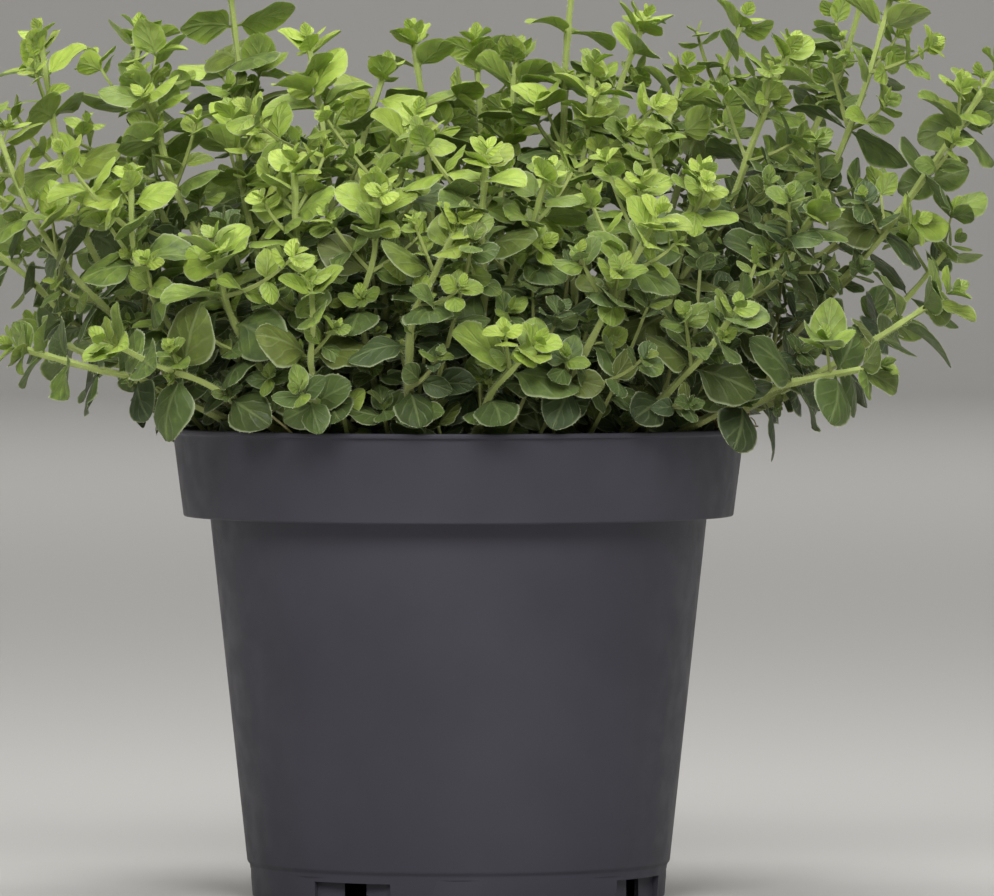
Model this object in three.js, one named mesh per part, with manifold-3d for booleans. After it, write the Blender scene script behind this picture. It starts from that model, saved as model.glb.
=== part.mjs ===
// Oregano growing in a pot: a tapered plastic pot with a deep collar, the soil that fills it, and the
// leafy square stems of the plant, each standing in a hole in the soil. Millimetres, +Z up, with the
// origin in the middle of the flat foot on which the pot stands. Azimuths turn from +X towards +Y.
import * as THREE from "three";
import { mergeVertices } from "three/addons/utils/BufferGeometryUtils.js";
import Module from "manifold-3d";

const wasm = await Module();
wasm.setup();

// ---- Pot ----
const POT_HEIGHT = 105;
const LIP_RADIUS = 65;
const LIP_HEIGHT = 1.6;
const COLLAR_TOP_RADIUS = 64.1;
const COLLAR_FOOT_RADIUS = 61.6;
const COLLAR_FOOT_Z = 85.2; // the collar's step stands this high above the table
const BODY_TOP_RADIUS = 55.7;
const BODY_FOOT_RADIUS = 47.4;
const BAND_TOP_RADIUS = 46.8;
const BAND_FOOT_RADIUS = 46.2;
const BAND_HEIGHT = 7.2; // the plain band that the pot stands on
const BAND_CHAMFER = 0.7;
const WALL = 1.3;
const BAND_WALL = 2;
const FLOOR_UNDERSIDE = 5.6;
const POT_SIDES = 32;
const HUB_RADIUS = 8; // flat disc under the middle of the floor, level with the band's foot
const HUB_SIDES = 12;
const RIB_THICKNESS = 1.4;
const RIB_FOOT_Z = 1;
const JOINED_DEPTH = 0.5; // ribs and hub reach this far into the floor
const NOTCH_AZIMUTHS = [-121, -29, 59, 151]; // drainage openings in the foot band
const NOTCH_HALF_WIDTH = 9.8;
const NOTCH_HEIGHT = 5.3;
const NOTCH_REACH = 40; // they are cut outwards from this distance
const DRAIN_RADIUS = 4;
const DRAIN_SIDES = 6;
const DRAIN_DISTANCE = 34;

// ---- Soil ----
const SOIL_TOP_Z = 98.5;
const SOIL_SIDES = 16;
const SOIL_RING_RADII = [46, 24];
const SOIL_UNEVENNESS = 0.9;
const SOIL_SEED = 7;
const SOIL_CLEARANCE = 0.4; // between the soil and the pot
const HOLE_CLEARANCE = 0.35; // between a stem and the sides and bottom of its hole
const HOLE_DEPTH = 12;

// ---- Stems and leaves ----
const STEM_RADIUS = 1.25; // from the middle to a corner of the square stem, at the soil
const STEM_TIP_RADIUS = 0.72;
const STRAIGHT_FOOT = 2; // a stem leaves its hole upright for this far
const BEND_SPACING = 19; // longest stretch of stem without a ring of its own
const FRAMES_PER_MM = 2; // how finely a stem's course is followed
const STEM_BENDS = 5; // a stem strays from its smooth course between this many stretches
const STEM_STRAY = 1.4;
const STRAY_FROM_Z = 111; // clear of the rim
const STRAY_RISE = 15; // over which it comes to its full size
const BARE_SHARE = 0.25; // of a stem's length, below its lowest leaves
const CROWDING = 1.5; // leaf pairs are this much closer together towards the tip
const FIRST_SEED = 1000;
const BLADE_THICKNESS = 0.9;
const SMALLEST_LEAF = 3.2;
const LEAF_STEPS = 24; // steps in which a leaf's midrib bends
const LEAF_CLEARANCE = 0.35; // between a leaf and all else
const EDGE_CLEARANCE = 3; // the clearance is this many times wider beside a blade's thin edges
// Where a leaf's rings of corners lie along it, and how wide the blade is there.
const BLADE_RINGS = [{ step: 8, width: 0.96 }, { step: 17, width: 0.78 }];
const YOUNGEST_BLADE_RINGS = [{ step: 11, width: 1 }];
const BLADE_WIDTH = { narrow: 0.66, wide: 0.78 }; // as a share of its length
// The stretch of stem that a pair of leaves grows from, as a share of their length, and its limits.
const NODE_HEIGHT = { share: 0.17, least: 1.2, most: 2.2 };
// Leaves are smaller by these shares at a shoot's tip and foot; ages run from 0 at the tip to 1.
const YOUNG = { until: 0.4, smaller: 0.38, fade: 1.3 };
const OLD = { from: 0.5, smaller: 0.15 };
// How leaves rise from the stem and curl down, in degrees, at a shoot's tip and at its foot.
const LIFT = { tip: 44, foot: 4, spread: 12, least: -50, most: 60 };
const CURL = { tip: 16, foot: 62, spread: 15 };
const AGEING = 0.7; // below 1, young leaves soon take the old ones' posture
const ROLL_SPREAD = 18;
const YOUNG_FOLDED = 0.75; // share of the youngest leaves that are folded; past this age none is
const LIGHT_SPREAD = 0.022; // how much the light comes from outside, per millimetre from the middle
const LIGHT_TURN = 0.75; // how far leaves turn to it
const MOST_ROLL = 62;

// Each stem stands in the soil at foot (x, y), passes by the points given, and ends at tip (x, y, z).
// turn is the azimuth of its lowest pair of leaves, pairs counts its leaf pairs, leaf is the length of
// its largest leaf, and bare is the share of its length below the lowest pair. The leaves of a stem that
// trails may hang lower than the rim.
const STEMS = [
  // front of the bush, from left to right
  { foot: [-38, -26], by: [[-70, -37, 116]], tip: [-95, -42, 123],
    turn: 70, pairs: 7, leaf: 13, bare: 0.3, trails: true },
  { foot: [-33, -37], by: [[-56, -53, 116]], tip: [-74, -62, 124],
    turn: 20, pairs: 5, leaf: 15, bare: 0.2, trails: true },
  { foot: [-41, -14], by: [[-60, -36, 122], [-69, -42, 140]], tip: [-72, -43, 159],
    turn: 0, pairs: 8, leaf: 13 },
  { foot: [-26, -33], by: [[-46, -48, 122]], tip: [-53, -54, 144], turn: 30, pairs: 7, leaf: 16 },
  { foot: [-19, -44], by: [[-32, -58, 118]], tip: [-32, -64, 136],
    turn: 0, pairs: 5, leaf: 14, bare: 0.15 },
  { foot: [-10, -48], by: [[-11, -60, 117], [-9, -64, 130]], tip: [-1, -67, 149],
    turn: 10, pairs: 7, leaf: 14, bare: 0.14, radius: 1.7 },
  { foot: [-23, -29], by: [[-33, -44, 133]], tip: [-36, -48, 162], turn: 45, pairs: 8, leaf: 13 },
  { foot: [-16, -38], by: [[-20, -50, 130]], tip: [-18, -56, 157], turn: 80, pairs: 7, leaf: 12 },
  { foot: [-12, -27], by: [[-17, -35, 125], [-15, -38, 147]], tip: [-10, -39, 172],
    turn: 20, pairs: 8, leaf: 13 },
  { foot: [4, -41], by: [[5, -54, 128]], tip: [6, -61, 164], turn: 50, pairs: 7, leaf: 13 },
  { foot: [2, -50], by: [[8, -64, 115]], tip: [15, -72, 123], turn: 0, pairs: 4, leaf: 15, bare: 0.15 },
  { foot: [12, -35], by: [[10, -47, 130], [14, -51, 147]], tip: [19, -54, 160],
    turn: 60, pairs: 7, leaf: 12 },
  { foot: [19, -45], by: [[25, -60, 118], [35, -64, 134]], tip: [42, -66, 150],
    turn: -10, pairs: 7, leaf: 14, bare: 0.16, radius: 1.5 },
  { foot: [25, -31], by: [[35, -40, 130]], tip: [40, -45, 158], turn: 35, pairs: 7, leaf: 13 },
  { foot: [33, -38], by: [[50, -53, 118]], tip: [59, -62, 130],
    turn: 10, pairs: 5, leaf: 14, bare: 0.15 },
  { foot: [35, -22], by: [[46, -33, 130]], tip: [53, -37, 160], turn: 55, pairs: 8, leaf: 13 },
  { foot: [41, -28], by: [[70, -44, 115]], tip: [89, -52, 119],
    turn: 20, pairs: 5, leaf: 15, bare: 0.22, trails: true },
  { foot: [46, -12], by: [[80, -25, 118]], tip: [106, -33, 134],
    turn: 60, pairs: 8, leaf: 15, bare: 0.22, trails: true },
  { foot: [40, -17], by: [[60, -25, 128]], tip: [78, -31, 152], turn: 15, pairs: 8, leaf: 14 },
  // left side
  { foot: [-46, -2], by: [[-78, -24, 132], [-94, -26, 151]], tip: [-103, -25, 173],
    turn: 30, pairs: 8, leaf: 13 },
  { foot: [-36, -4], by: [[-71, -10, 130], [-86, -10, 156]], tip: [-93, -8, 190],
    turn: 75, pairs: 7, leaf: 14, bare: 0.3 },
  { foot: [-31, -15], by: [[-55, -18, 138], [-63, -18, 160]], tip: [-69, -17, 181],
    turn: 50, pairs: 7, leaf: 13, bare: 0.3 },
  { foot: [-29, 6], by: [[-55, 5, 130], [-70, 6, 160]], tip: [-72, 7, 191],
    turn: 10, pairs: 7, leaf: 14, bare: 0.3 },
  { foot: [-43, 14], by: [[-80, 22, 122]], tip: [-110, 26, 148],
    turn: 70, pairs: 8, leaf: 14, trails: true },
  { foot: [-42, 25], by: [[-72, 40, 116]], tip: [-95, 52, 126],
    turn: 30, pairs: 5, leaf: 14, bare: 0.2, trails: true },
  { foot: [-20, 17], by: [[-38, 20, 140], [-47, 21, 175]], tip: [-52, 21, 206],
    turn: 25, pairs: 9, leaf: 15, bare: 0.3 },
  { foot: [-25, -2], by: [[-42, -3, 138]], tip: [-50, -2, 172], turn: 40, pairs: 6, leaf: 14 },
  // middle
  { foot: [-21, -17], by: [[-27, -21, 140], [-30, -21, 168]], tip: [-33, -20, 189],
    turn: 5, pairs: 7, leaf: 13, bare: 0.3 },
  { foot: [-10, -7], by: [[-23, -8, 140], [-23, -6, 160]], tip: [-17, -4, 183],
    turn: 80, pairs: 7, leaf: 13, bare: 0.3 },
  { foot: [-3, 14], by: [[-7, 18, 150]], tip: [-10, 21, 191], turn: 55, pairs: 7, leaf: 13, bare: 0.3 },
  { foot: [4, 30], by: [[5, 38, 150]], tip: [4, 44, 190], turn: 15, pairs: 7, leaf: 13, bare: 0.3 },
  { foot: [13, -3], by: [[20, 0, 140], [23, 0, 178]], tip: [26, 0, 209],
    turn: 40, pairs: 7, leaf: 13, bare: 0.3 },
  { foot: [22, -15], by: [[26, -17, 145]], tip: [30, -18, 184], turn: 85, pairs: 7, leaf: 12, bare: 0.3 },
  { foot: [22, 10], by: [[26, 12, 142], [32, 13, 165]], tip: [41, 14, 194],
    turn: 20, pairs: 7, leaf: 14, bare: 0.3 },
  { foot: [6, 12], by: [[10, 18, 150]], tip: [13, 22, 187], turn: 60, pairs: 7, leaf: 13, bare: 0.3 },
  { foot: [-15, 27], by: [[-20, 36, 138]], tip: [-25, 43, 174], turn: 35, pairs: 6, leaf: 14 },
  // right side
  { foot: [27, 0], by: [[40, 2, 145]], tip: [50, 4, 183], turn: 80, pairs: 7, leaf: 13, bare: 0.3 },
  { foot: [32, -7], by: [[48, -10, 138], [63, -11, 158]], tip: [73, -11, 188],
    turn: 45, pairs: 7, leaf: 13, bare: 0.3 },
  { foot: [27, 24], by: [[48, 30, 150]], tip: [64, 33, 195], turn: 0, pairs: 7, leaf: 14, bare: 0.3 },
  { foot: [37, 6], by: [[66, 6, 130], [84, 6, 163]], tip: [97, 5, 201],
    turn: 70, pairs: 7, leaf: 14, bare: 0.3 },
  { foot: [35, 20], by: [[62, 26, 140], [82, 28, 176]], tip: [93, 29, 206],
    turn: 20, pairs: 7, leaf: 13, bare: 0.3 },
  { foot: [46, 0], by: [[76, -7, 126], [97, -10, 152]], tip: [120, -11, 185],
    turn: 35, pairs: 7, leaf: 14, bare: 0.3 },
  { foot: [45, 14], by: [[82, 18, 116]], tip: [110, 18, 144],
    turn: 10, pairs: 7, leaf: 14, trails: true },
  { foot: [42, 26], by: [[72, 42, 116]], tip: [94, 54, 128],
    turn: 50, pairs: 5, leaf: 14, bare: 0.2, trails: true },
  // back of the bush, from left to right
  { foot: [-35, 32], by: [[-62, 54, 122]], tip: [-80, 68, 154], turn: 40, pairs: 7, leaf: 14 },
  { foot: [-25, 31], by: [[-40, 48, 138]], tip: [-50, 58, 178], turn: 15, pairs: 8, leaf: 13 },
  { foot: [-17, 42], by: [[-28, 68, 116]], tip: [-36, 88, 130],
    turn: 60, pairs: 5, leaf: 14, bare: 0.2, trails: true },
  { foot: [-6, 45], by: [[-8, 66, 124]], tip: [-10, 80, 156], turn: 30, pairs: 6, leaf: 14 },
  { foot: [9, 48], by: [[16, 72, 116]], tip: [22, 92, 132],
    turn: 20, pairs: 5, leaf: 14, bare: 0.2, trails: true },
  { foot: [16, 38], by: [[26, 56, 134]], tip: [32, 68, 172], turn: 75, pairs: 8, leaf: 13 },
  { foot: [25, 41], by: [[42, 62, 120]], tip: [56, 78, 148], turn: 50, pairs: 6, leaf: 14 },
  { foot: [36, 33], by: [[60, 50, 132]], tip: [76, 62, 170], turn: 15, pairs: 7, leaf: 13 },
];

// ---- Colours and surfaces ----
const POT_PLASTIC = { color: 0x35343a, roughness: 0.55, metalness: 0 };
const SOIL = { color: 0x2b211a, roughness: 0.95, metalness: 0 };
const FOLIAGE = { color: 0x6f7f4c, roughness: 0.7, metalness: 0 };

const SAME_POINT = 1e-3; // points closer than this are one
const UP = new THREE.Vector3(0, 0, 1);
const radians = THREE.MathUtils.degToRad;
const lerp = THREE.MathUtils.lerp;

/** A number that is up to a spread above or below zero. */
function about(random, spread) {
  return (2 * random() - 1) * spread;
}

/** A seeded random number generator: each call gives the next number from 0 to 1. */
function seededRandom(seed) {
  let state = seed;
  return () => {
    state = (state + 0x6d2b79f5) | 0;
    let mixed = Math.imul(state ^ (state >>> 15), 1 | state);
    mixed = (mixed + Math.imul(mixed ^ (mixed >>> 7), 61 | mixed)) ^ mixed;
    return ((mixed ^ (mixed >>> 14)) >>> 0) / 4294967296;
  };
}

/** A geometry with nothing but its points, each of which its triangles share. */
function bareGeometry(geometry) {
  const bare = geometry.clone();
  bare.deleteAttribute("normal");
  bare.deleteAttribute("uv");
  return mergeVertices(bare, SAME_POINT);
}

/** A closed geometry as a solid that can be joined and cut. */
function solidOf(geometry) {
  const merged = bareGeometry(geometry);
  return new wasm.Manifold(
    new wasm.Mesh({
      numProp: 3,
      vertProperties: merged.attributes.position.array,
      triVerts: new Uint32Array(merged.index.array),
    }),
  );
}

/** The surface of a solid as a geometry. */
function geometryOf(solid) {
  const mesh = solid.getMesh();
  const geometry = new THREE.BufferGeometry();
  geometry.setAttribute("position", new THREE.BufferAttribute(mesh.vertProperties, 3));
  geometry.setIndex(new THREE.BufferAttribute(mesh.triVerts, 1));
  return geometry;
}

/** A round solid about the vertical axis, from a profile of [radius, z] that runs up its outside. */
function turned(profile, sides) {
  const points = profile.map(([radius, z]) => new THREE.Vector2(radius, z));
  return new THREE.LatheGeometry(points, sides).rotateX(Math.PI / 2);
}

/** An upright prism with its lower end at z = foot. */
function upright(radius, foot, top, sides) {
  const prism = new THREE.CylinderGeometry(radius, radius, top - foot, sides);
  return prism.rotateX(Math.PI / 2).translate(0, 0, (foot + top) / 2);
}

/** A straight bar that runs outwards along an azimuth, from one distance to another. */
function radialBar(azimuth, near, far, width, foot, top) {
  const bar = new THREE.BoxGeometry(far - near, width, top - foot);
  return bar.translate((near + far) / 2, 0, (foot + top) / 2).rotateZ(radians(azimuth));
}

/** The pot: one moulding, with ribs, a hub and drainage openings under its raised floor. */
function potSolid() {
  const bandTop = BAND_HEIGHT + BAND_CHAMFER;
  const profile = [
    [0, FLOOR_UNDERSIDE],
    [BAND_FOOT_RADIUS - BAND_WALL, FLOOR_UNDERSIDE],
    [BAND_FOOT_RADIUS - BAND_WALL, 0],
    [BAND_FOOT_RADIUS, 0],
    [BAND_TOP_RADIUS, BAND_HEIGHT],
    [BODY_FOOT_RADIUS, bandTop],
    [BODY_TOP_RADIUS, COLLAR_FOOT_Z],
    [COLLAR_FOOT_RADIUS, COLLAR_FOOT_Z],
    [COLLAR_TOP_RADIUS, POT_HEIGHT - LIP_HEIGHT],
    [LIP_RADIUS, POT_HEIGHT - LIP_HEIGHT],
    [LIP_RADIUS, POT_HEIGHT],
    ...insideProfile(0),
  ];
  const ribTop = FLOOR_UNDERSIDE + JOINED_DEPTH;
  const ribEnd = BAND_FOOT_RADIUS - BAND_WALL / 2;
  let pot = solidOf(turned(profile, POT_SIDES));
  pot = pot.add(solidOf(upright(HUB_RADIUS, 0, ribTop, HUB_SIDES)));
  for (const azimuth of NOTCH_AZIMUTHS) {
    const rib = radialBar(azimuth + 45, 0, ribEnd, RIB_THICKNESS, RIB_FOOT_Z, ribTop);
    pot = pot.add(solidOf(rib));
  }
  for (const azimuth of NOTCH_AZIMUTHS) {
    const notch = radialBar(azimuth, NOTCH_REACH, LIP_RADIUS, 2 * NOTCH_HALF_WIDTH, -1, NOTCH_HEIGHT);
    const drain = upright(DRAIN_RADIUS, 0, 2 * FLOOR_UNDERSIDE, DRAIN_SIDES);
    drain.translate(DRAIN_DISTANCE, 0, 0).rotateZ(radians(azimuth));
    pot = pot.subtract(solidOf(notch)).subtract(solidOf(drain));
  }
  return pot;
}

/** The inside of the pot as [radius, z], from the lip down to the floor, drawn in by a clearance. */
function insideProfile(clearance) {
  return [
    [COLLAR_TOP_RADIUS - WALL - clearance, POT_HEIGHT],
    [COLLAR_FOOT_RADIUS - WALL - clearance, COLLAR_FOOT_Z + WALL + clearance],
    [BODY_TOP_RADIUS - WALL - clearance, COLLAR_FOOT_Z + WALL + clearance],
    [BODY_FOOT_RADIUS - WALL - clearance, FLOOR_UNDERSIDE + WALL + clearance],
    [0, FLOOR_UNDERSIDE + WALL + clearance],
  ];
}

/** The soil: it fills the pot to just under the rim, its top is uneven, and each stem has its hole. */
function soilSolid(stems) {
  const [mouth, collarFoot, ...below] = insideProfile(SOIL_CLEARANCE);
  const rise = (SOIL_TOP_Z - collarFoot[1]) / (mouth[1] - collarFoot[1]);
  const edge = [lerp(collarFoot[0], mouth[0], rise), SOIL_TOP_Z];
  const rings = SOIL_RING_RADII.map((radius) => [radius, SOIL_TOP_Z]);
  const profile = [...below.reverse(), collarFoot, edge, ...rings, [0, SOIL_TOP_Z]];
  const merged = bareGeometry(turned(profile, SOIL_SIDES));
  const random = seededRandom(SOIL_SEED);
  const position = merged.attributes.position;
  for (let i = 0; i < position.count; i++) {
    const isTop = position.getZ(i) > SOIL_TOP_Z - SAME_POINT;
    const isEdge = Math.hypot(position.getX(i), position.getY(i)) > edge[0] - SAME_POINT;
    if (isTop && !isEdge) position.setZ(i, SOIL_TOP_Z + about(random, SOIL_UNEVENNESS));
  }
  let solid = solidOf(merged);
  for (const stem of stems) {
    const corner = stem.radius + HOLE_CLEARANCE * Math.SQRT2;
    const bottom = SOIL_TOP_Z - HOLE_DEPTH - HOLE_CLEARANCE;
    const hole = upright(corner, bottom, SOIL_TOP_Z + 2 * SOIL_UNEVENNESS, 4);
    hole.rotateZ(radians(stem.turn + 45)).translate(stem.foot[0], stem.foot[1], 0);
    solid = solid.subtract(solidOf(hole));
  }
  return solid;
}

/** Frames along a stem: its middle, the way it grows, and two directions across it. */
function framesAlong(curve) {
  const steps = Math.ceil(curve.getLength() * FRAMES_PER_MM);
  const frames = [];
  let side = new THREE.Vector3(1, 0, 0);
  for (let i = 0; i <= steps; i++) {
    const growth = curve.getTangentAt(i / steps);
    side = side.clone().addScaledVector(growth, -side.dot(growth)).normalize();
    const other = new THREE.Vector3().crossVectors(growth, side);
    frames.push({ middle: curve.getPointAt(i / steps), growth, side, other });
  }
  return frames;
}

/** A stem's frame at a distance along it. */
function frameAt(stem, distance) {
  const share = THREE.MathUtils.clamp(distance / stem.length, 0, 1);
  return stem.frames[Math.round(share * (stem.frames.length - 1))];
}

/** The direction across a stem at an angle, in degrees. */
function across(frame, angle) {
  return blend(frame.side, frame.other, radians(angle));
}

/** The four corners of a square stem at a distance along it. */
function cornersAt(stem, distance) {
  const frame = frameAt(stem, distance);
  const radius = lerp(stem.radius, STEM_TIP_RADIUS, distance / stem.length);
  return [0, 1, 2, 3].map((k) =>
    frame.middle.clone().addScaledVector(across(frame, stem.turn - 135 + 90 * k), radius),
  );
}

/** The corners of the opening in one side of a stem, between two of its rings, that a leaf grows from. */
function openingOf(side, lower, upper) {
  const next = (side + 1) % 4;
  return [lower[side], lower[next], upper[next], upper[side]];
}

/** Where a stem's rings lie: its foot, its leaf pairs' rings in twos, and its bends between them. */
function ringPlan(pairs) {
  let last = HOLE_DEPTH + STRAIGHT_FOOT;
  const plan = [{ at: 0 }, { at: last }];
  for (const pair of pairs) {
    const lower = pair.at - pair.height / 2;
    const bends = Math.ceil((lower - last) / BEND_SPACING);
    for (let i = 1; i < bends; i++) plan.push({ at: lerp(last, lower, i / bends) });
    plan.push({ at: lower, pair });
    plan.push({ at: lower + pair.height });
    last = lower + pair.height;
  }
  return plan;
}

/** The middle line of a stem: upright out of the soil, then past its points, straying a little. */
function stemCurve(entry, random) {
  const [x, y] = entry.foot;
  const foot = new THREE.Vector3(x, y, SOIL_TOP_Z - HOLE_DEPTH);
  const neck = new THREE.Vector3(x, y, SOIL_TOP_Z + STRAIGHT_FOOT);
  const tip = new THREE.Vector3(...entry.tip);
  const passed = entry.by.map((point) => new THREE.Vector3(...point));
  const course = new THREE.CatmullRomCurve3([neck, ...passed, tip], false, "centripetal");
  const bends = [];
  for (let i = 1; i < STEM_BENDS; i++) {
    const bend = course.getPointAt(i / STEM_BENDS);
    const stray = new THREE.Vector3(about(random, 1), about(random, 1), about(random, 1));
    const freedom = THREE.MathUtils.clamp((bend.z - STRAY_FROM_Z) / STRAY_RISE, 0, 1);
    bends.push(bend.addScaledVector(stray, STEM_STRAY * freedom));
  }
  return new THREE.CatmullRomCurve3([foot, neck, ...bends, tip], false, "centripetal");
}

/** One stem: its middle line, its square section and the places of its leaf pairs. */
function planStem(entry, index) {
  const random = seededRandom(FIRST_SEED + index);
  const curve = stemCurve(entry, random);
  const length = curve.getLength();
  const lowestPair = lerp(HOLE_DEPTH, length, entry.bare ?? BARE_SHARE);
  const pairs = [];
  for (let k = 0; k < entry.pairs; k++) {
    const age = 1 - k / (entry.pairs - 1);
    const size = entry.leaf * leafSize(age) * (1 + about(random, 0.06));
    const height = THREE.MathUtils.clamp(size * NODE_HEIGHT.share, NODE_HEIGHT.least, NODE_HEIGHT.most);
    const at = lerp(lowestPair, length - height / 2, 1 - Math.pow(age, CROWDING));
    pairs.push({ at, age, size, height, sides: k % 2 ? [1, 3] : [0, 2] });
  }
  return {
    foot: entry.foot,
    radius: entry.radius ?? STEM_RADIUS,
    turn: entry.turn + 90,
    lowestLeafZ: entry.trails ? 0 : POT_HEIGHT + 1,
    length,
    frames: framesAlong(curve),
    rings: ringPlan(pairs),
    random,
  };
}

/** Leaf length by age, from 0 at the shoot's tip to 1 at its foot, as a share of the largest leaf. */
function leafSize(age) {
  const young = Math.max(0, 1 - age / YOUNG.until);
  const old = Math.max(0, (age - OLD.from) / (1 - OLD.from));
  return 1 - YOUNG.smaller * Math.pow(young, YOUNG.fade) - OLD.smaller * old;
}

/**
 * One leaf: its rings of three corners, from the stem outwards, and its tip. A leaf is either arched,
 * with its midrib on top, or folded, with its midrib underneath. lift is its rise where it leaves the
 * stem, curl how far it has bent down at its tip and roll its turn about its midrib. extra makes it
 * larger all round.
 */
function leafShape(foot, outward, growth, leaf, extra = 0) {
  const right = new THREE.Vector3().crossVectors(growth, outward).normalize();
  const roll = radians(leaf.roll);
  const bladeRings = leaf.youngest ? YOUNGEST_BLADE_RINGS : BLADE_RINGS;
  const middle = foot.clone();
  const rings = [];
  let along = outward;
  for (let i = 1; i <= LEAF_STEPS; i++) {
    const pitch = radians(leaf.lift - (leaf.curl * i) / LEAF_STEPS);
    along = blend(outward, growth, pitch);
    middle.addScaledVector(along, leaf.size / LEAF_STEPS);
    const ring = bladeRings.find(({ step }) => step === i);
    if (!ring) continue;
    const level = new THREE.Vector3().crossVectors(along, right).normalize();
    const side = blend(right, level, roll);
    const face = blend(level, right, -roll);
    const half = (leaf.width * ring.width) / 2 + EDGE_CLEARANCE * extra;
    const bulge = (BLADE_THICKNESS + 2 * extra) * (leaf.folded ? -1 : 1);
    const flat = middle.clone().addScaledVector(face, -bulge / 3);
    const [leftEdge, rightEdge] = [-half, half].map((reach) => flat.clone().addScaledVector(side, reach));
    const midrib = flat.clone().addScaledVector(face, bulge);
    rings.push(leaf.folded ? [leftEdge, midrib, rightEdge] : [leftEdge, rightEdge, midrib]);
  }
  return { rings, tip: middle.addScaledVector(along, extra) };
}

/** The direction that is turned from one direction by an angle towards another, square to it. */
function blend(from, to, angle) {
  return from.clone().multiplyScalar(Math.cos(angle)).addScaledVector(to, Math.sin(angle));
}

/** The roll, in degrees, that turns a leaf's upper face to the light, which is above and outside. */
function rollToLight(foot, outward, growth) {
  const right = new THREE.Vector3().crossVectors(growth, outward).normalize();
  const light = new THREE.Vector3(foot.x, foot.y, 0).multiplyScalar(LIGHT_SPREAD).add(UP);
  const roll = THREE.MathUtils.radToDeg(Math.atan2(-light.dot(right), light.dot(growth)));
  return THREE.MathUtils.clamp(roll * LIGHT_TURN, -MOST_ROLL, MOST_ROLL);
}

/** A body under construction: its points and its triangles, which face outwards. */
class Body {
  points = [];
  triangles = [];

  addRing(corners) {
    return corners.map((corner) => this.points.push(corner) - 1);
  }

  addQuad(a, b, c, d) {
    this.triangles.push([a, b, c], [a, c, d]);
  }

  /** The four sides between two rings of a square stem, apart from those that are left open. */
  addSides(lower, upper, open = []) {
    for (let k = 0; k < 4; k++) {
      const next = (k + 1) % 4;
      if (!open.includes(k)) this.addQuad(lower[k], lower[next], upper[next], upper[k]);
    }
  }

  /** A leaf that grows out of the open side whose corners are given, from its lower left one round. */
  addLeaf([lowLeft, lowRight, highRight, highLeft], shape, folded) {
    const rings = shape.rings.map((ring) => this.addRing(ring));
    const [a, b, c] = rings[0];
    if (folded) {
      this.addQuad(lowRight, highRight, c, b);
      this.addQuad(highRight, highLeft, a, c);
      this.addQuad(highLeft, lowLeft, b, a);
      this.triangles.push([lowLeft, lowRight, b]);
    } else {
      this.addQuad(lowLeft, lowRight, b, a);
      this.addQuad(lowRight, highRight, c, b);
      this.addQuad(highLeft, lowLeft, a, c);
      this.triangles.push([highRight, highLeft, c]);
    }
    this.addBlade(rings, this.addRing([shape.tip])[0]);
  }

  /** The sides of a blade from its first ring to its tip. */
  addBlade(rings, tip) {
    for (let i = 1; i < rings.length; i++) {
      const [a, b, c] = rings[i - 1];
      const [farA, farB, farC] = rings[i];
      this.addQuad(a, b, farB, farA);
      this.addQuad(b, c, farC, farB);
      this.addQuad(c, a, farA, farC);
    }
    const [a, b, c] = rings.at(-1);
    this.triangles.push([a, b, tip], [b, c, tip], [c, a, tip]);
  }

  /** A flat end over a ring, facing back along the stem where it is the stem's foot. */
  addEnd(ring, atFoot) {
    const [a, b, c, d] = atFoot ? ring.toReversed() : ring;
    this.addQuad(a, b, c, d);
  }

  geometry() {
    const geometry = new THREE.BufferGeometry().setFromPoints(this.points);
    return geometry.setIndex(this.triangles.flat());
  }

  solid() {
    return solidOf(this.geometry());
  }
}

/** Something that leaves have to keep clear of: a solid, its box, and the stem that it belongs to. */
function obstacle(solid, owner = null) {
  const { min, max } = solid.boundingBox();
  return { solid, owner, box: new THREE.Box3(new THREE.Vector3(...min), new THREE.Vector3(...max)) };
}

/** Whether a solid is clear of every obstacle. */
function isClear(solid, obstacles) {
  const { min, max } = solid.boundingBox();
  const box = new THREE.Box3(new THREE.Vector3(...min), new THREE.Vector3(...max));
  for (const other of obstacles) {
    if (!box.intersectsBox(other.box)) continue;
    const common = solid.intersect(other.solid);
    const meets = !common.isEmpty();
    common.delete();
    if (meets) return false;
  }
  return true;
}

/** A bare stem as a closed solid. */
function stemTube(stem) {
  const body = new Body();
  const rings = stem.rings.map(({ at }) => body.addRing(cornersAt(stem, at)));
  body.addEnd(rings[0], true);
  for (let i = 1; i < rings.length; i++) body.addSides(rings[i - 1], rings[i]);
  body.addEnd(rings.at(-1), false);
  return body.solid();
}

/** One leaf as a closed solid, from the corners that it grows from, or from its first ring on. */
function leafSolid(corners, shape, folded, fromFirstRing) {
  const body = new Body();
  if (fromFirstRing) {
    const rings = shape.rings.map((ring) => body.addRing(ring));
    body.triangles.push(rings[0].toReversed());
    body.addBlade(rings, body.addRing([shape.tip])[0]);
  } else {
    const foot = body.addRing(corners);
    body.addEnd(foot, true);
    body.addLeaf(foot, shape, folded);
  }
  return body.solid();
}

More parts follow.
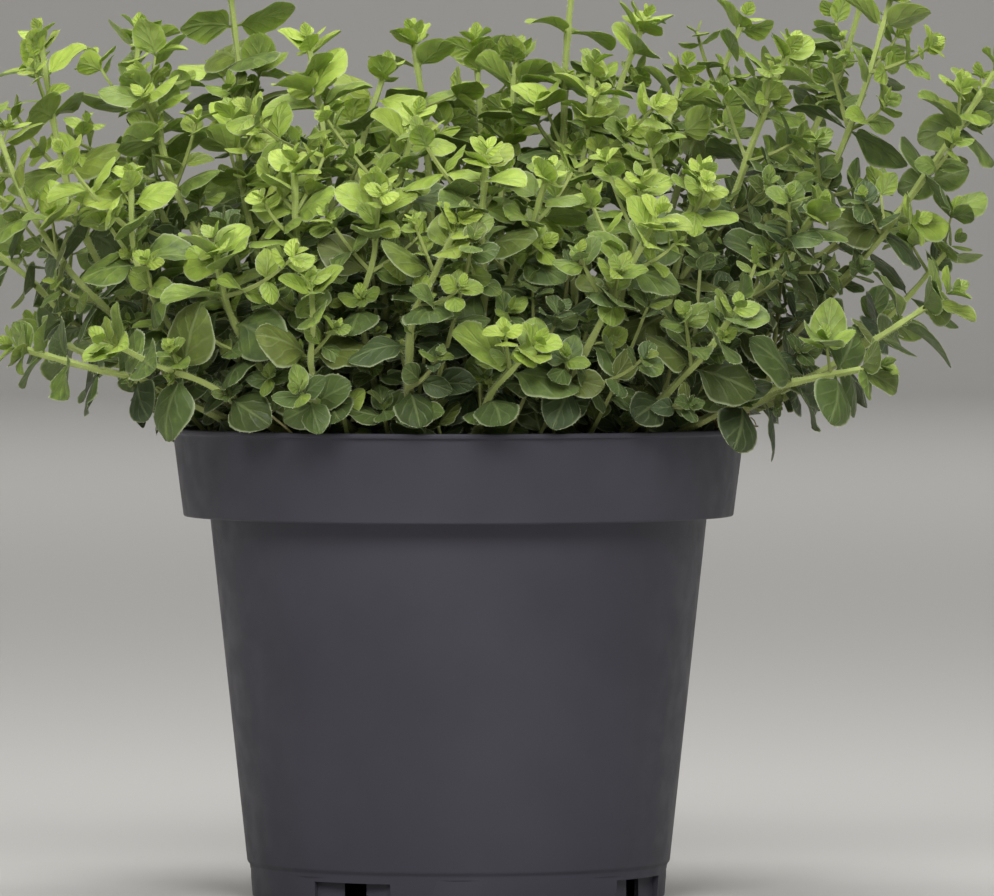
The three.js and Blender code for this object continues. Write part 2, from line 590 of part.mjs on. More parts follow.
/** The ways in which a leaf may be bent clear of its neighbours, the least bent first. */
const BENDS = [
  { size: 1, lift: 0, swing: 0 },
  { size: 1, lift: 14, swing: 0 },
  { size: 1, lift: -14, swing: 0 },
  { size: 1, lift: 0, swing: 22 },
  { size: 1, lift: 0, swing: -22 },
  { size: 0.92, lift: 26, swing: 12 },
  { size: 0.92, lift: -26, swing: -12 },
  { size: 0.85, lift: 16, swing: 34 },
  { size: 0.85, lift: 16, swing: -34 },
  { size: 0.8, lift: -16, swing: 34 },
  { size: 0.8, lift: -16, swing: -34 },
  { size: 0.68, lift: 34, swing: 0 },
  { size: 0.68, lift: -34, swing: 0 },
  { size: 0.6, lift: 10, swing: 44 },
  { size: 0.6, lift: 10, swing: -44 },
];

/** A leaf on one side of a stem that is clear of all that is there already, or nothing. */
function placeLeaf(stem, pair, side, corners, obstacles) {
  const frame = frameAt(stem, pair.at);
  const foot = corners.reduce((sum, corner) => sum.add(corner), new THREE.Vector3()).multiplyScalar(0.25);
  const angle = stem.turn - 90 + 90 * side;
  const random = stem.random;
  const ageing = Math.pow(pair.age, AGEING);
  const natural = {
    lift: lerp(LIFT.tip, LIFT.foot, ageing) + about(random, LIFT.spread),
    curl: lerp(CURL.tip, CURL.foot, ageing) + about(random, CURL.spread),
    roll: about(random, ROLL_SPREAD),
    folded: random() < YOUNG_FOLDED - pair.age,
    youngest: pair.age === 0,
    size: pair.size * (1 + about(random, 0.09)),
    width: lerp(BLADE_WIDTH.narrow, BLADE_WIDTH.wide, random()),
  };
  for (const bend of BENDS) {
    const size = natural.size * bend.size;
    if (size < SMALLEST_LEAF) continue;
    const lift = THREE.MathUtils.clamp(natural.lift + bend.lift, LIFT.least, LIFT.most);
    const outward = across(frame, angle + bend.swing);
    const roll = natural.roll + rollToLight(foot, outward, frame.growth);
    const leaf = { ...natural, size, width: size * natural.width, lift, roll };
    const shape = leafShape(foot, outward, frame.growth, leaf);
    const wide = leafShape(foot, outward, frame.growth, leaf, LEAF_CLEARANCE);
    if (Math.min(shape.tip.z, ...shape.rings.flat().map((point) => point.z)) < stem.lowestLeafZ) continue;
    const blade = leafSolid(corners, wide, leaf.folded, true);
    const whole = leafSolid(corners, wide, leaf.folded, false);
    const own = obstacles.filter((other) => other.owner === stem);
    const others = obstacles.filter((other) => other.owner !== stem);
    const clear = isClear(blade, own) && isClear(whole, others);
    blade.delete();
    whole.delete();
    if (!clear) continue;
    obstacles.push(obstacle(leafSolid(corners, shape, leaf.folded, false)));
    return { shape, folded: leaf.folded };
  }
  return null;
}

/** Gives each leaf pair of a stem its leaves, by the side of the stem that they grow from. */
function placeLeaves(stem, obstacles) {
  stem.rings.forEach((ring, i) => {
    if (!ring.pair) return;
    const lower = cornersAt(stem, ring.at);
    const upper = cornersAt(stem, stem.rings[i + 1].at);
    ring.leaves = new Map();
    for (const side of ring.pair.sides) {
      const leaf = placeLeaf(stem, ring.pair, side, openingOf(side, lower, upper), obstacles);
      if (leaf) ring.leaves.set(side, leaf);
    }
  });
}

/** The leafy stem as one closed body: its leaves grow out of the sides of its square stem. */
function leafyStem(stem) {
  const body = new Body();
  const corners = stem.rings.map(({ at }) => body.addRing(cornersAt(stem, at)));
  body.addEnd(corners[0], true);
  for (let i = 1; i < corners.length; i++) {
    const leaves = stem.rings[i - 1].leaves ?? new Map();
    body.addSides(corners[i - 1], corners[i], [...leaves.keys()]);
    for (const [side, { shape, folded }] of leaves)
      body.addLeaf(openingOf(side, corners[i - 1], corners[i]), shape, folded);
  }
  body.addEnd(corners.at(-1), false);
  return body.geometry();
}

/** A named mesh with its own material. */
function piece(name, geometry, finish) {
  const mesh = new THREE.Mesh(geometry, new THREE.MeshStandardMaterial(finish));
  mesh.name = name;
  return mesh;
}

const stems = STEMS.map(planStem);
const pot = potSolid();
const soil = soilSolid(stems);
const tubes = stems.map((stem) => obstacle(stemTube(stem), stem));
const obstacles = [obstacle(pot), obstacle(soil), ...tubes];
for (const stem of stems) placeLeaves(stem, obstacles);

const oregano = new THREE.Group();
oregano.add(piece("pot", geometryOf(pot), POT_PLASTIC));
oregano.add(piece("soil", geometryOf(soil), SOIL));
stems.forEach((stem, i) => {
  const number = String(i + 1).padStart(2, "0");
  oregano.add(piece(`leafy_stem_${number}`, leafyStem(stem), FOLIAGE));
});

export default oregano;
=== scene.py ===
"""Oregano growing in a pot: the fine surfaces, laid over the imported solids, and a plain studio.

Metres, +Z up, with the origin in the middle of the flat foot on which the pot stands. Each leafy stem is
read back from its solid: where its stem runs, and where each of its leaves lies. A fine stem and fine
leaves are then laid along those lines, and get hairs, small shoots in the leaf axils, and a bud.
"""

import math

import bmesh
import bpy
import numpy as np
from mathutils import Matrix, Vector, noise


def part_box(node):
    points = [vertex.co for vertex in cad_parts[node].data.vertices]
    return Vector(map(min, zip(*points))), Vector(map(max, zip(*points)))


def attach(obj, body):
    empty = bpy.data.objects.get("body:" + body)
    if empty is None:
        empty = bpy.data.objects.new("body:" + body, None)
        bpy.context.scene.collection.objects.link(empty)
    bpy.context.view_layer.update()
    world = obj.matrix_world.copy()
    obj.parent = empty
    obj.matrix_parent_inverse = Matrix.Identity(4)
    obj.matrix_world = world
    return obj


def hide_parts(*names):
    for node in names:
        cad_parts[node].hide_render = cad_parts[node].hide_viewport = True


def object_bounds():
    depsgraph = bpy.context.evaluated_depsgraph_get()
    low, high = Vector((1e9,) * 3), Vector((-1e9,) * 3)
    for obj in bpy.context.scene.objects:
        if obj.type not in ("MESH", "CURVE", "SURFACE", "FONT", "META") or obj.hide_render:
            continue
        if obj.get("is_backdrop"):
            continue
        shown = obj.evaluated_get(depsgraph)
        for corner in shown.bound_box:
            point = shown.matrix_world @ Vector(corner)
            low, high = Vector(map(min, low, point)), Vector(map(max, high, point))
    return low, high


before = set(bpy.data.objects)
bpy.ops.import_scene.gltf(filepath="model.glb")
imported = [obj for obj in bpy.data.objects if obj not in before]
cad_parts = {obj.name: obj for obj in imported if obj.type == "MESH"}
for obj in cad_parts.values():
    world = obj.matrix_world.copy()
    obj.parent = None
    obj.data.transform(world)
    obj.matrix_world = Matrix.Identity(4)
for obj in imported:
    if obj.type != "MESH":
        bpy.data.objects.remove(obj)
CAD_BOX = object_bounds()

bl_info = {
    "name": "Potted oregano",
    "version": (1, 0, 0),
    "blender": (4, 5, 0),
    "location": "View3D > Sidebar > Oregano",
    "description": "Builds oregano in a pot: the pot, its soil, the leafy stems and a plain studio",
    "category": "Add Mesh",
}

MM = 0.001
STEM_NODES = sorted(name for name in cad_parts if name.startswith("leafy_stem"))
_, POT_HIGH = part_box("pot")
SOIL_LOW, SOIL_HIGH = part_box("soil")
UP = np.array([0, 0, 1.0])

# The pot's outside, whose steps the soil and the new shoots keep to.
POT_FLOOR = 5.6 * MM
FOOT_RADIUS = 47.4 * MM
COLLAR_STEP_RADII = (55.7 * MM, 61.6 * MM)

# Leaves deeper in the bush than this are plain and have no hairs.
HIDDEN_RADIUS = 40 * MM
HIDDEN_HEIGHT = 136 * MM
HAIR_RADIUS = 0.045 * MM


# ---- What a user may change ----


def length_setting(name, description, millimetres):
    """A length that is shown in the scene's units."""
    return bpy.props.FloatProperty(
        name=name, description=description, default=millimetres * MM, unit="LENGTH", subtype="DISTANCE"
    )


def share_setting(name, description, default, most=1.0):
    """A share, from nothing to a most."""
    return bpy.props.FloatProperty(
        name=name, description=description, default=default, min=0.0, max=most, subtype="FACTOR"
    )


def power_setting(name, default):
    """The power of a light."""
    return bpy.props.FloatProperty(name=name, description="Power of each lamp, in watts", default=default)


def colour_setting(name, description, code):
    """A colour, from its code as it is seen on a screen."""
    return bpy.props.FloatVectorProperty(
        name=name, description=description, default=seen_colour(code), size=4, subtype="COLOR"
    )


def seen_colour(code):
    """The linear colour, with alpha, of a code of six digits."""
    seen = [int(code[i : i + 2], 16) / 255 for i in (0, 2, 4)]
    return tuple(c / 12.92 if c <= 0.04045 else ((c + 0.055) / 1.055) ** 2.4 for c in seen) + (1.0,)


class OreganoPotSettings(bpy.types.PropertyGroup):
    """The pot's sizes, which follow its solid, and its colour."""

    sides: bpy.props.IntProperty(name="Sides", description="Flat stretches round the pot", default=128)
    lip_radius: length_setting("Lip radius", "Outer radius of the lip", POT_HIGH.x / MM)
    height: length_setting("Height", "Height of the pot", POT_HIGH.z / MM)
    lip_height: length_setting("Lip height", "Height of the narrow lip at the top", 1.1)
    wall: length_setting("Wall", "Thickness of the wall", 1.3)
    collar_foot: length_setting("Collar foot", "Height of the step under the collar", 85.2)
    band_height: length_setting("Foot band", "Height of the band on which the pot stands", 7.2)
    recess: length_setting("Foot recess", "Depth of the panels in the foot band", 0.5)
    colour: colour_setting("Plastic", "Colour of the plastic", "45444d")


class OreganoSoilSettings(bpy.types.PropertyGroup):
    """The potting mix."""

    lumps: length_setting("Lumps", "Height of the lumps in the surface", 1.5)
    crumbs: bpy.props.IntProperty(name="Crumbs", description="Loose crumbs on the soil", default=260)
    dark: colour_setting("Dark soil", "Colour of the moist soil", "2a1f17")
    light: colour_setting("Light soil", "Colour of its dry fibres", "6b5238")


class OreganoPlantSettings(bpy.types.PropertyGroup):
    """The stems, leaves and hairs."""

    seed: bpy.props.IntProperty(name="Seed", description="Start of the random draws", default=11)
    blade: length_setting("Blade", "Thickness of a leaf at its midrib", 0.34)
    leaf_breadth: bpy.props.FloatProperty(
        name="Leaf breadth", description="Breadth of the leaves beside that of their solids", default=1.1
    )
    axil_shoots: share_setting("Axil shoots", "Share of leaf axils with a small shoot", 0.92)
    side_shoots: share_setting("Side shoots", "Share of leaf axils with a longer shoot", 0.62)
    twigs: bpy.props.IntProperty(
        name="Twigs", description="Tries, at each leaf pair, to fill a gap", default=1
    )
    low_shoots: bpy.props.IntProperty(
        name="Low shoots", description="Young shoots near the soil", default=150
    )
    stem_hairs: bpy.props.FloatProperty(
        name="Stem hairs", description="Hairs on each square millimetre of stem", default=1.2
    )
    edge_hairs: bpy.props.FloatProperty(
        name="Leaf hairs", description="Hairs on each millimetre of a leaf's edge", default=1.8
    )
    hair: length_setting("Hair", "Length of the longest hairs", 0.95)
    old: colour_setting("Old leaves", "Colour of the oldest leaves", "394625")
    grown: colour_setting("Grown leaves", "Colour of grown leaves", "586b36")
    young: colour_setting("Young leaves", "Colour of young leaves", "9db54a")
    bud: colour_setting("Buds", "Colour of the shoots' tips", "b9d05c")


class OreganoStageSettings(bpy.types.PropertyGroup):
    """The studio."""

    floor: colour_setting("Floor", "Colour of the floor", "c8c6c2")
    front: power_setting("Front lights", 14.5)
    top: power_setting("Top light", 15.0)
    wall: power_setting("Backdrop lights", 70.0)
    world: share_setting("Surroundings", "Brightness of the surroundings", 0.04, 5.0)


# ---- Modelling, as by hand ----


def deselect_all():
    """Leaves nothing selected, so that an operator acts only on what is chosen next."""
    for obj in bpy.context.selected_objects:
        obj.select_set(False)


def choose(obj):
    """Makes one object the selected and active one."""
    deselect_all()
    obj.select_set(True)
    bpy.context.view_layer.objects.active = obj


def apply_modifier(obj, kind, **values):
    """Adds a modifier with these values and applies it."""
    choose(obj)
    modifier = obj.modifiers.new(kind.title(), kind)
    for key, value in values.items():
        setattr(modifier, key, value)
    bpy.ops.object.modifier_apply(modifier=modifier.name)


def settle(obj):
    """Puts an object's place, turn and size into its mesh."""
    choose(obj)
    bpy.ops.object.transform_apply(location=True, rotation=True, scale=True)


def draw_rings(radius, z, further):
    """Extrudes and resizes the selected ring, in edit mode, to each further radius and height."""
    for next_radius, next_z in further:
        bpy.ops.mesh.extrude_edges_move(TRANSFORM_OT_translate={"value": (0, 0, next_z - z)})
        scale = next_radius / radius
        bpy.ops.transform.resize(value=(scale, scale, 1), center_override=(0, 0, next_z))
        radius, z = next_radius, next_z


def turned_shell(name, profile, sides):
    """A closed round shell about Z: a circle that is extruded and resized from ring to ring."""
    deselect_all()
    (radius, z), *further = profile
    bpy.ops.mesh.primitive_circle_add(vertices=sides, radius=radius, enter_editmode=True)
    bpy.ops.transform.translate(value=(0, 0, z))
    draw_rings(radius, z, further)
    bpy.ops.mesh.select_all(action="SELECT")
    bpy.ops.mesh.fill_holes(sides=0)
    bpy.ops.mesh.select_all(action="SELECT")
    bpy.ops.mesh.normals_make_consistent(inside=False)
    bpy.ops.object.mode_set(mode="OBJECT")
    shell = bpy.context.object
    shell.name = name
    return shell


def rounded(profile, radius, steps=3):
    """A profile whose corners, except its two ends, are rounded off by short curves."""
    smooth = [profile[0]]
    for before, corner, after in zip(profile, profile[1:], profile[2:]):
        before, corner, after = (Vector(point) for point in (before, corner, after))
        reach = min(radius, (before - corner).length * 0.45, (after - corner).length * 0.45)
        start = corner + (before - corner).normalized() * reach
        end = corner + (after - corner).normalized() * reach
        for i in range(steps + 1):
            t = i / steps
            smooth.append(tuple(start * (1 - t) ** 2 + corner * 2 * t * (1 - t) + end * t**2))
    return smooth + [profile[-1]]


def block(size, centre, azimuth):
    """A box of a size, whose centre is turned with it to an azimuth about the pot's axis."""
    deselect_all()
    turn = math.radians(azimuth)
    x, y, z = centre
    place = (x * math.cos(turn) - y * math.sin(turn), x * math.sin(turn) + y * math.cos(turn), z)
    bpy.ops.mesh.primitive_cube_add(size=1, location=place, rotation=(0, 0, turn), scale=size)
    box = bpy.context.object
    settle(box)
    return box


def upright(radius, low, high, distance, azimuth, sides):
    """An upright cylinder at a distance and an azimuth from the pot's axis."""
    deselect_all()
    turn = math.radians(azimuth)
    place = (distance * math.cos(turn), distance * math.sin(turn), (low + high) / 2)
    bpy.ops.mesh.primitive_cylinder_add(vertices=sides, radius=radius, depth=high - low, location=place)
    rod = bpy.context.object
    settle(rod)
    return rod


def combine(obj, tools, operation):
    """Joins other objects to one, or cuts them from it, and removes them."""
    for tool in tools:
        apply_modifier(obj, "BOOLEAN", object=tool, operation=operation, solver="EXACT")
        bpy.data.objects.remove(tool)


def finish_piece(obj, node, smooth_below=None):
    """Smooths a piece by angle where asked, and lets it stand for a CAD node and ride on the part's body.
    """
    if smooth_below is not None:
        choose(obj)
        bpy.ops.object.shade_smooth_by_angle(angle=math.radians(smooth_below))
    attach(obj, "root")
    if node:
        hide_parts(node)
    return obj


# ---- Materials ----


class Finish:
    """A material under construction: nodes are added with their inputs named."""

    def __init__(self, name, roughness, specular=0.5):
        self.material = bpy.data.materials.new(name)
        self.material.use_nodes = True
        self.tree = self.material.node_tree
        self.shader = self.tree.nodes["Principled BSDF"]
        self.shader.inputs["Roughness"].default_value = roughness
        self.shader.inputs["Specular IOR Level"].default_value = specular

    def put(self, socket, value):
        """Sets a socket to a value, or links it to another node's output."""
        if isinstance(value, bpy.types.NodeSocket):
            self.tree.links.new(value, socket)
        else:
            socket.default_value = value

    def add(self, kind, inputs=None, **settings):
        """A new node with its settings and inputs."""
        node = self.tree.nodes.new(kind)
        for key, value in settings.items():
            setattr(node, key, value)
        for key, value in (inputs or {}).items():
            self.put(node.inputs[key], value)
        return node

    def math(self, operation, *values):
        """One sum, with its answer."""
        return self.add("ShaderNodeMath", dict(enumerate(values)), operation=operation).outputs[0]

    def step(self, value, low, high, start=0.0, end=1.0):
        """A soft step from start to end as a value goes from low to high."""
        inputs = {"Value": value, "From Min": low, "From Max": high, "To Min": start, "To Max": end}
        return self.add("ShaderNodeMapRange", inputs, interpolation_type="SMOOTHSTEP").outputs[0]

    def mix(self, share, first, second):
        """A mix of two colours."""
        node = self.add("ShaderNodeMix", {0: share, 6: first, 7: second}, data_type="RGBA")
        return node.outputs[2]

    def ramp(self, value, stops):
        """A colour that goes through these stops as a value goes from 0 to 1."""
        node = self.add("ShaderNodeValToRGB", {0: value})
        elements = node.color_ramp.elements
        while len(elements) < len(stops):
            elements.new(0.5)
        for element, (place, shade) in zip(elements, stops):
            element.position = place
            element.color = tuple(shade)
        return node.outputs["Color"]

    def attribute(self, name):
        """A number that the mesh holds at each of its points."""
        return self.add("ShaderNodeAttribute", attribute_name=name).outputs["Fac"]

    def coordinates(self, kind="Object"):
        """The coordinates that patterns follow."""
        return self.add("ShaderNodeTexCoord").outputs[kind]

    def noise(self, scale, detail=2.0, where=None):
        """Soft noise with this many waves in a metre."""
        inputs = {"Vector": where or self.coordinates(), "Scale": scale, "Detail": detail}
        return self.add("ShaderNodeTexNoise", inputs).outputs["Fac"]

    def mottled(self, value, scale, detail, amount):
        """A value that noise makes uneven."""
        uneven = self.math("SUBTRACT", self.noise(scale, detail), 0.5)
        return self.math("ADD", value, self.math("MULTIPLY", uneven, amount))

    def deep(self, weight, radius):
        """Light that goes in a little way."""
        self.shader.inputs["Subsurface Weight"].default_value = weight
        self.shader.inputs["Subsurface Radius"].default_value = radius
        self.shader.inputs["Subsurface Scale"].default_value = 0.6 * MM

    def colour(self, value, usual):
        """Sets the surface's colour, and the colour that stands for it where nodes aren't read."""
        self.shader.inputs["Base Color"].default_value = usual
        self.put(self.shader.inputs["Base Color"], value)

    def bump(self, height, strength, distance):
        """Low relief."""
        inputs = {"Height": height, "Strength": strength, "Distance": distance}
        normal = self.add("ShaderNodeBump", inputs).outputs["Normal"]
        self.put(self.shader.inputs["Normal"], normal)


def plastic_finish(settings):
    """Matt dark plastic with fine grain and a little dust."""
    finish = Finish("pot_plastic", 0.5, 0.18)
    cloudy = finish.noise(24, 3.0)
    grain = finish.noise(2600, 2.0)
    darker = tuple(c * 0.86 for c in settings.colour[:3]) + (1.0,)
    shade = finish.mix(finish.step(cloudy, 0.35, 0.7), darker, tuple(settings.colour))
    finish.colour(shade, tuple(settings.colour))
    rough = finish.step(finish.noise(160, 4.0), 0.3, 0.7, 0.44, 0.56)
    finish.put(finish.shader.inputs["Roughness"], rough)
    finish.bump(grain, 0.12, 0.1 * MM)
    return finish.material


def soil_finish(settings):
    """Dark crumbly potting mix with lighter fibres."""
    finish = Finish("potting_mix", 0.95, 0.2)
    crumbs = finish.noise(420, 5.0)
    fibres = finish.noise(1500, 3.0)
    shade = finish.mix(finish.step(fibres, 0.55, 0.75), tuple(settings.dark), tuple(settings.light))
    finish.colour(shade, tuple(settings.dark))
    finish.bump(finish.math("ADD", crumbs, fibres), 0.9, 0.8 * MM)
    return finish.material


def dry_finish():
    """Dry stalks, leaves and roots: brown, yellowish or straw-pale."""
    finish = Finish("dry_bits", 0.8, 0.3)
    stops = [(0.0, "4f3f2b"), (0.3, "7d6a42"), (0.6, "8f8a4c"), (1.0, "c9bf97")]
    shade = finish.ramp(
        finish.mottled(finish.attribute("tone"), 500, 3.0, 0.5),
        [(place, seen_colour(code)) for place, code in stops],
    )
    finish.colour(shade, seen_colour("8f8a4c"))
    finish.bump(finish.noise(900, 3.0), 0.6, 0.3 * MM)
    return finish.material


def leaf_finish(settings):
    """Soft leaves: yellow-green when young and grey-green when old, with paler veins and pale edges, which
    are partly a pale margin and partly painted rim light.
    """
    finish = Finish("leaf", 0.5, 0.33)
    shader = finish.shader
    shader.inputs["Sheen Weight"].default_value = 0.07
    shader.inputs["Sheen Roughness"].default_value = 0.4
    shader.inputs["Sheen Tint"].default_value = seen_colour("d9e3bd")
    finish.deep(0.12, (0.6, 1.0, 0.2))
    uv = finish.add("ShaderNodeSeparateXYZ", {0: finish.coordinates("UV")})
    along = uv.outputs["Y"]
    across = finish.math("ABSOLUTE", finish.math("MULTIPLY_ADD", uv.outputs["X"], 2.0, -1.0))
    tone, under, hue = (finish.attribute(name) for name in ("tone", "under", "hue"))

    # Side veins leave the midrib low down, and arch forwards along the edge.
    arched = finish.math("MULTIPLY", finish.math("POWER", across, 0.8), 0.5)
    wobble = finish.math("MULTIPLY", finish.noise(260, 1.0), 0.16)
    slanted = finish.math("ADD", finish.math("SUBTRACT", along, arched), wobble)
    ladder = finish.math("FRACT", finish.math("MULTIPLY", slanted, 3.5))
    ridge = finish.math("ABSOLUTE", finish.math("SUBTRACT", ladder, 0.5))
    side_veins = finish.step(ridge, 0.36, 0.5)
    side_veins = finish.math("MULTIPLY", side_veins, finish.step(across, 0.6, 0.95, 1.0, 0.0))
    midrib = finish.step(across, 0.02, 0.12, 1.0, 0.0)
    veins = finish.math("MAXIMUM", midrib, finish.math("MULTIPLY", side_veins, 0.55))
    # Pale edges: partly the leaf's pale margin, partly painted rim light.
    edge = finish.step(across, 0.88, 1.0)

    age = finish.ramp(
        finish.mottled(tone, 320, 4.0, 0.5),
        [(0.0, settings.old), (0.4, settings.grown), (0.75, settings.young), (1.0, settings.bud)],
    )
    face = finish.mix(finish.step(hue, 0.55, 1.0, 0.0, 0.45), age, seen_colour("4c5c48"))
    face = finish.mix(finish.step(hue, 0.45, 0.0, 0.0, 0.35), face, seen_colour("74762f"))
    face = finish.mix(finish.math("MULTIPLY", veins, 0.2), face, seen_colour("b3c283"))
    face = finish.mix(finish.math("MULTIPLY", under, 0.4), face, seen_colour("84916a"))
    # Painted rim light, with some pale margin: the edges are mixed towards a pale grey-green.
    face = finish.mix(finish.math("MULTIPLY", edge, 0.65), face, seen_colour("b4bf95"))
    finish.colour(face, tuple(settings.grown))
    rough = finish.step(finish.noise(500, 3.0), 0.3, 0.7, 0.4, 0.62)
    finish.put(shader.inputs["Roughness"], rough)
    quilt = finish.math("MULTIPLY", ridge, -0.8)
    height = finish.math("ADD", finish.math("MULTIPLY", veins, -0.7), quilt)
    height = finish.math("ADD", height, finish.math("MULTIPLY", finish.noise(1000, 3.0), 0.7))
    finish.bump(height, 0.7, 0.3 * MM)
    return finish.material


def stem_finish(settings):
    """Square stems: purplish brown at the soil, pale yellow-green above."""
    finish = Finish("stem", 0.6, 0.35)
    finish.shader.inputs["Sheen Weight"].default_value = 0.15
    finish.deep(0.12, (0.8, 1.0, 0.3))
    stops = [(0.0, "4d3b2f"), (0.2, "6a6338"), (0.5, "929d58"), (1.0, "b0c06c")]
    age = finish.ramp(
        finish.mottled(finish.attribute("tone"), 180, 3.0, 0.3),
        [(place, seen_colour(code)) for place, code in stops],
    )
    finish.colour(age, seen_colour("929d58"))
    finish.bump(finish.noise(1100, 3.0), 0.5, 0.25 * MM)
    return finish.material


def hair_finish():
    """Fine pale hairs."""
    finish = Finish("hair", 0.5, 0.4)
    shade = finish.mix(finish.noise(90, 1.0), seen_colour("b8c48c"), seen_colour("e2e8c8"))
    finish.colour(shade, seen_colour("cdd6a8"))
    return finish.material


# ---- Pot and soil ----


NOTCH_AZIMUTHS = (-121, -29, 59, 151)
NOTCH_SIZE = (6 * MM, 19.6 * MM, 6.3 * MM)
NOTCH_MIDDLE = 47.1 * MM
PANEL_AZIMUTHS = tuple(range(-90, 270, 45))
PANEL_WIDTH = 22 * MM


class OREGANO_OT_pot(bpy.types.Operator):
    """Build the pot, with its lip, collar, foot band, drainage openings and ribbed underside"""

    bl_idname = "oregano.pot"
    bl_label = "Pot"
    settings_key = "oregano_pot"

    def execute(self, context):
        settings = context.scene.oregano_pot
        pot = turned_shell("pot_fine", self.profile(settings), settings.sides)
        floor = POT_FLOOR
        rib = (92 * MM, 1.4 * MM, floor - 0.5 * MM), (0, 0, floor / 2 + 0.75 * MM)
        ribs = [block(*rib, a) for a in (14, 104)]
        hub = upright(8 * MM, 0, floor + 0.5 * MM, 0, 0, 48)
        gussets = [
            block((1.6 * MM, 5.2 * MM, floor), (43.4 * MM, hand * 6.6 * MM, floor / 2 + 0.3 * MM), a)
            for a in NOTCH_AZIMUTHS for hand in (-1, 1)
        ]
        combine(pot, [hub, *ribs, *gussets], "UNION")
        drains = [upright(4 * MM, 0, 2 * floor, 34 * MM, a, 24) for a in NOTCH_AZIMUTHS]
        notches = [block(NOTCH_SIZE, (NOTCH_MIDDLE, 0, 2.15 * MM), a) for a in NOTCH_AZIMUTHS]
        panels = [self.panel(settings, a) for a in PANEL_AZIMUTHS]
        combine(pot, drains + notches + panels, "DIFFERENCE")
        pot.data.materials.append(plastic_finish(settings))
        finish_piece(pot, "pot", 35)
        return {"FINISHED"}

    @staticmethod
    def profile(settings):
        """Radius and height of the pot's outline, from its underside round the lip to its floor."""
        lip, height, wall = settings.lip_radius, settings.height, settings.wall
        floor = POT_FLOOR
        neck, collar = COLLAR_STEP_RADII
        outside = [
            (44.2 * MM, floor),
            (44.2 * MM, 0),
            (46.2 * MM, 0),
            (46.8 * MM, settings.band_height),
            (FOOT_RADIUS, settings.band_height + 0.7 * MM),
            (neck, settings.collar_foot),
            (collar, settings.collar_foot),
            (64.0 * MM, height - settings.lip_height - 0.15 * MM),
            (lip - 0.05 * MM, height - settings.lip_height),
            (lip, height - 0.2 * MM),
            (lip - 0.2 * MM, height),
        ]
        inside = [
            (64.1 * MM - wall, height),
            (collar - wall, settings.collar_foot + wall),
            (neck - wall, settings.collar_foot + wall),
            (FOOT_RADIUS - wall, floor + wall),
        ]
        return rounded([(0.5 * MM, floor), *outside, *inside, (0.5 * MM, floor + wall)], 0.45 * MM)

    @staticmethod
    def panel(settings, azimuth):
        """What a shallow panel of the foot band takes away."""
        low, high = 1.2 * MM, settings.band_height - 0.9 * MM
        reach = 47 * MM - settings.recess
        return block((4 * MM, PANEL_WIDTH, high - low), (reach + 2 * MM, 0, (low + high) / 2), azimuth)


class OREGANO_OT_soil(bpy.types.Operator):
    """Build the potting mix with its lumpy top and loose crumbs"""

    bl_idname = "oregano.soil"
    bl_label = "Soil"
    settings_key = "oregano_soil"

    def execute(self, context):
        settings = context.scene.oregano_soil
        mix = soil_finish(settings)
        soil = turned_shell("soil_fine", self.profile(), 96)
        self.make_lumpy(soil, settings.lumps)
        soil.data.materials.append(mix)
        finish_piece(soil, "soil", 60)
        self.add_crumbs(settings, mix)
        return {"FINISHED"}

    @staticmethod
    def profile():
        """Radius and height from the middle of the soil's top to the middle of its underside."""
        top = SOIL_HIGH.z - 1.2 * MM
        edge = SOIL_HIGH.x
        rings = [(edge * i / 26, top) for i in range(1, 27)]
        body = [(59.9 * MM, 86.9 * MM), (54 * MM, 86.9 * MM), (45.8 * MM, SOIL_LOW.z), (1 * MM, SOIL_LOW.z)]
        return [(0.8 * MM, top), *rings, *body]

    @staticmethod
    def make_lumpy(soil, lumps):
        """Raises and lowers the soil's top by noise, coarse and fine, except along its edge."""
        for vertex in soil.data.vertices:
            x, y, z = vertex.co
            inside = math.hypot(x, y) < SOIL_HIGH.x - 1 * MM
            if z < SOIL_HIGH.z - 2 * MM or not inside:
                continue
            coarse = noise.noise(Vector((x, y, 0)) * 90)
            fine = noise.noise(Vector((x, y, 0.1)) * 380)
            vertex.co.z += lumps * (0.6 * coarse + 0.55 * fine)

    @staticmethod
    def add_crumbs(settings, mix):
        """Loose crumbs: one is modelled, and copies of it are turned, resized and strewn."""
        random = np.random.default_rng(5)
        deselect_all()
        bpy.ops.mesh.primitive_ico_sphere_add(subdivisions=1, radius=1)
        crumb = bpy.context.object
        shape = np.array([v.co for v in crumb.data.vertices])
        faces = faces_of(crumb.data)
        bpy.data.objects.remove(crumb)
        growth = Growth()
        for _ in range(settings.crumbs):
            distance = SOIL_HIGH.x * math.sqrt(random.random()) * 0.97
            azimuth = random.random() * 2 * math.pi
            size = (0.5 + 1.3 * random.random() ** 2) * MM
            rough = 1 + 0.28 * random.standard_normal((len(shape), 1))
            turn, _ = np.linalg.qr(random.standard_normal((3, 3)))
            turn *= np.sign(np.linalg.det(turn))
            stretched = shape * rough * np.array([1, 0.8, 0.6]) * size
            place = [distance * math.cos(azimuth), distance * math.sin(azimuth), SOIL_HIGH.z - 0.9 * MM]
            growth.add(stretched @ turn.T + place, faces, 0, 0.0)
        crumbs = growth.build("soil_crumbs", [mix])
        finish_piece(crumbs, None, 80)


# ---- Reading the plan of a leafy stem from its solid ----


WELD = 2e-6  # points closer than this are one
RING_STEPS = {2: (8 / 24, 17 / 24), 1: (11 / 24,)}  # where a leaf's rings lie along it
FIRST_RING_WIDTH = {2: 0.96, 1: 1.0}  # as a share of the leaf's width


def unit(vectors):
    """Vectors with their lengths made 1."""
    return vectors / np.sqrt((vectors**2).sum(axis=-1, keepdims=True))


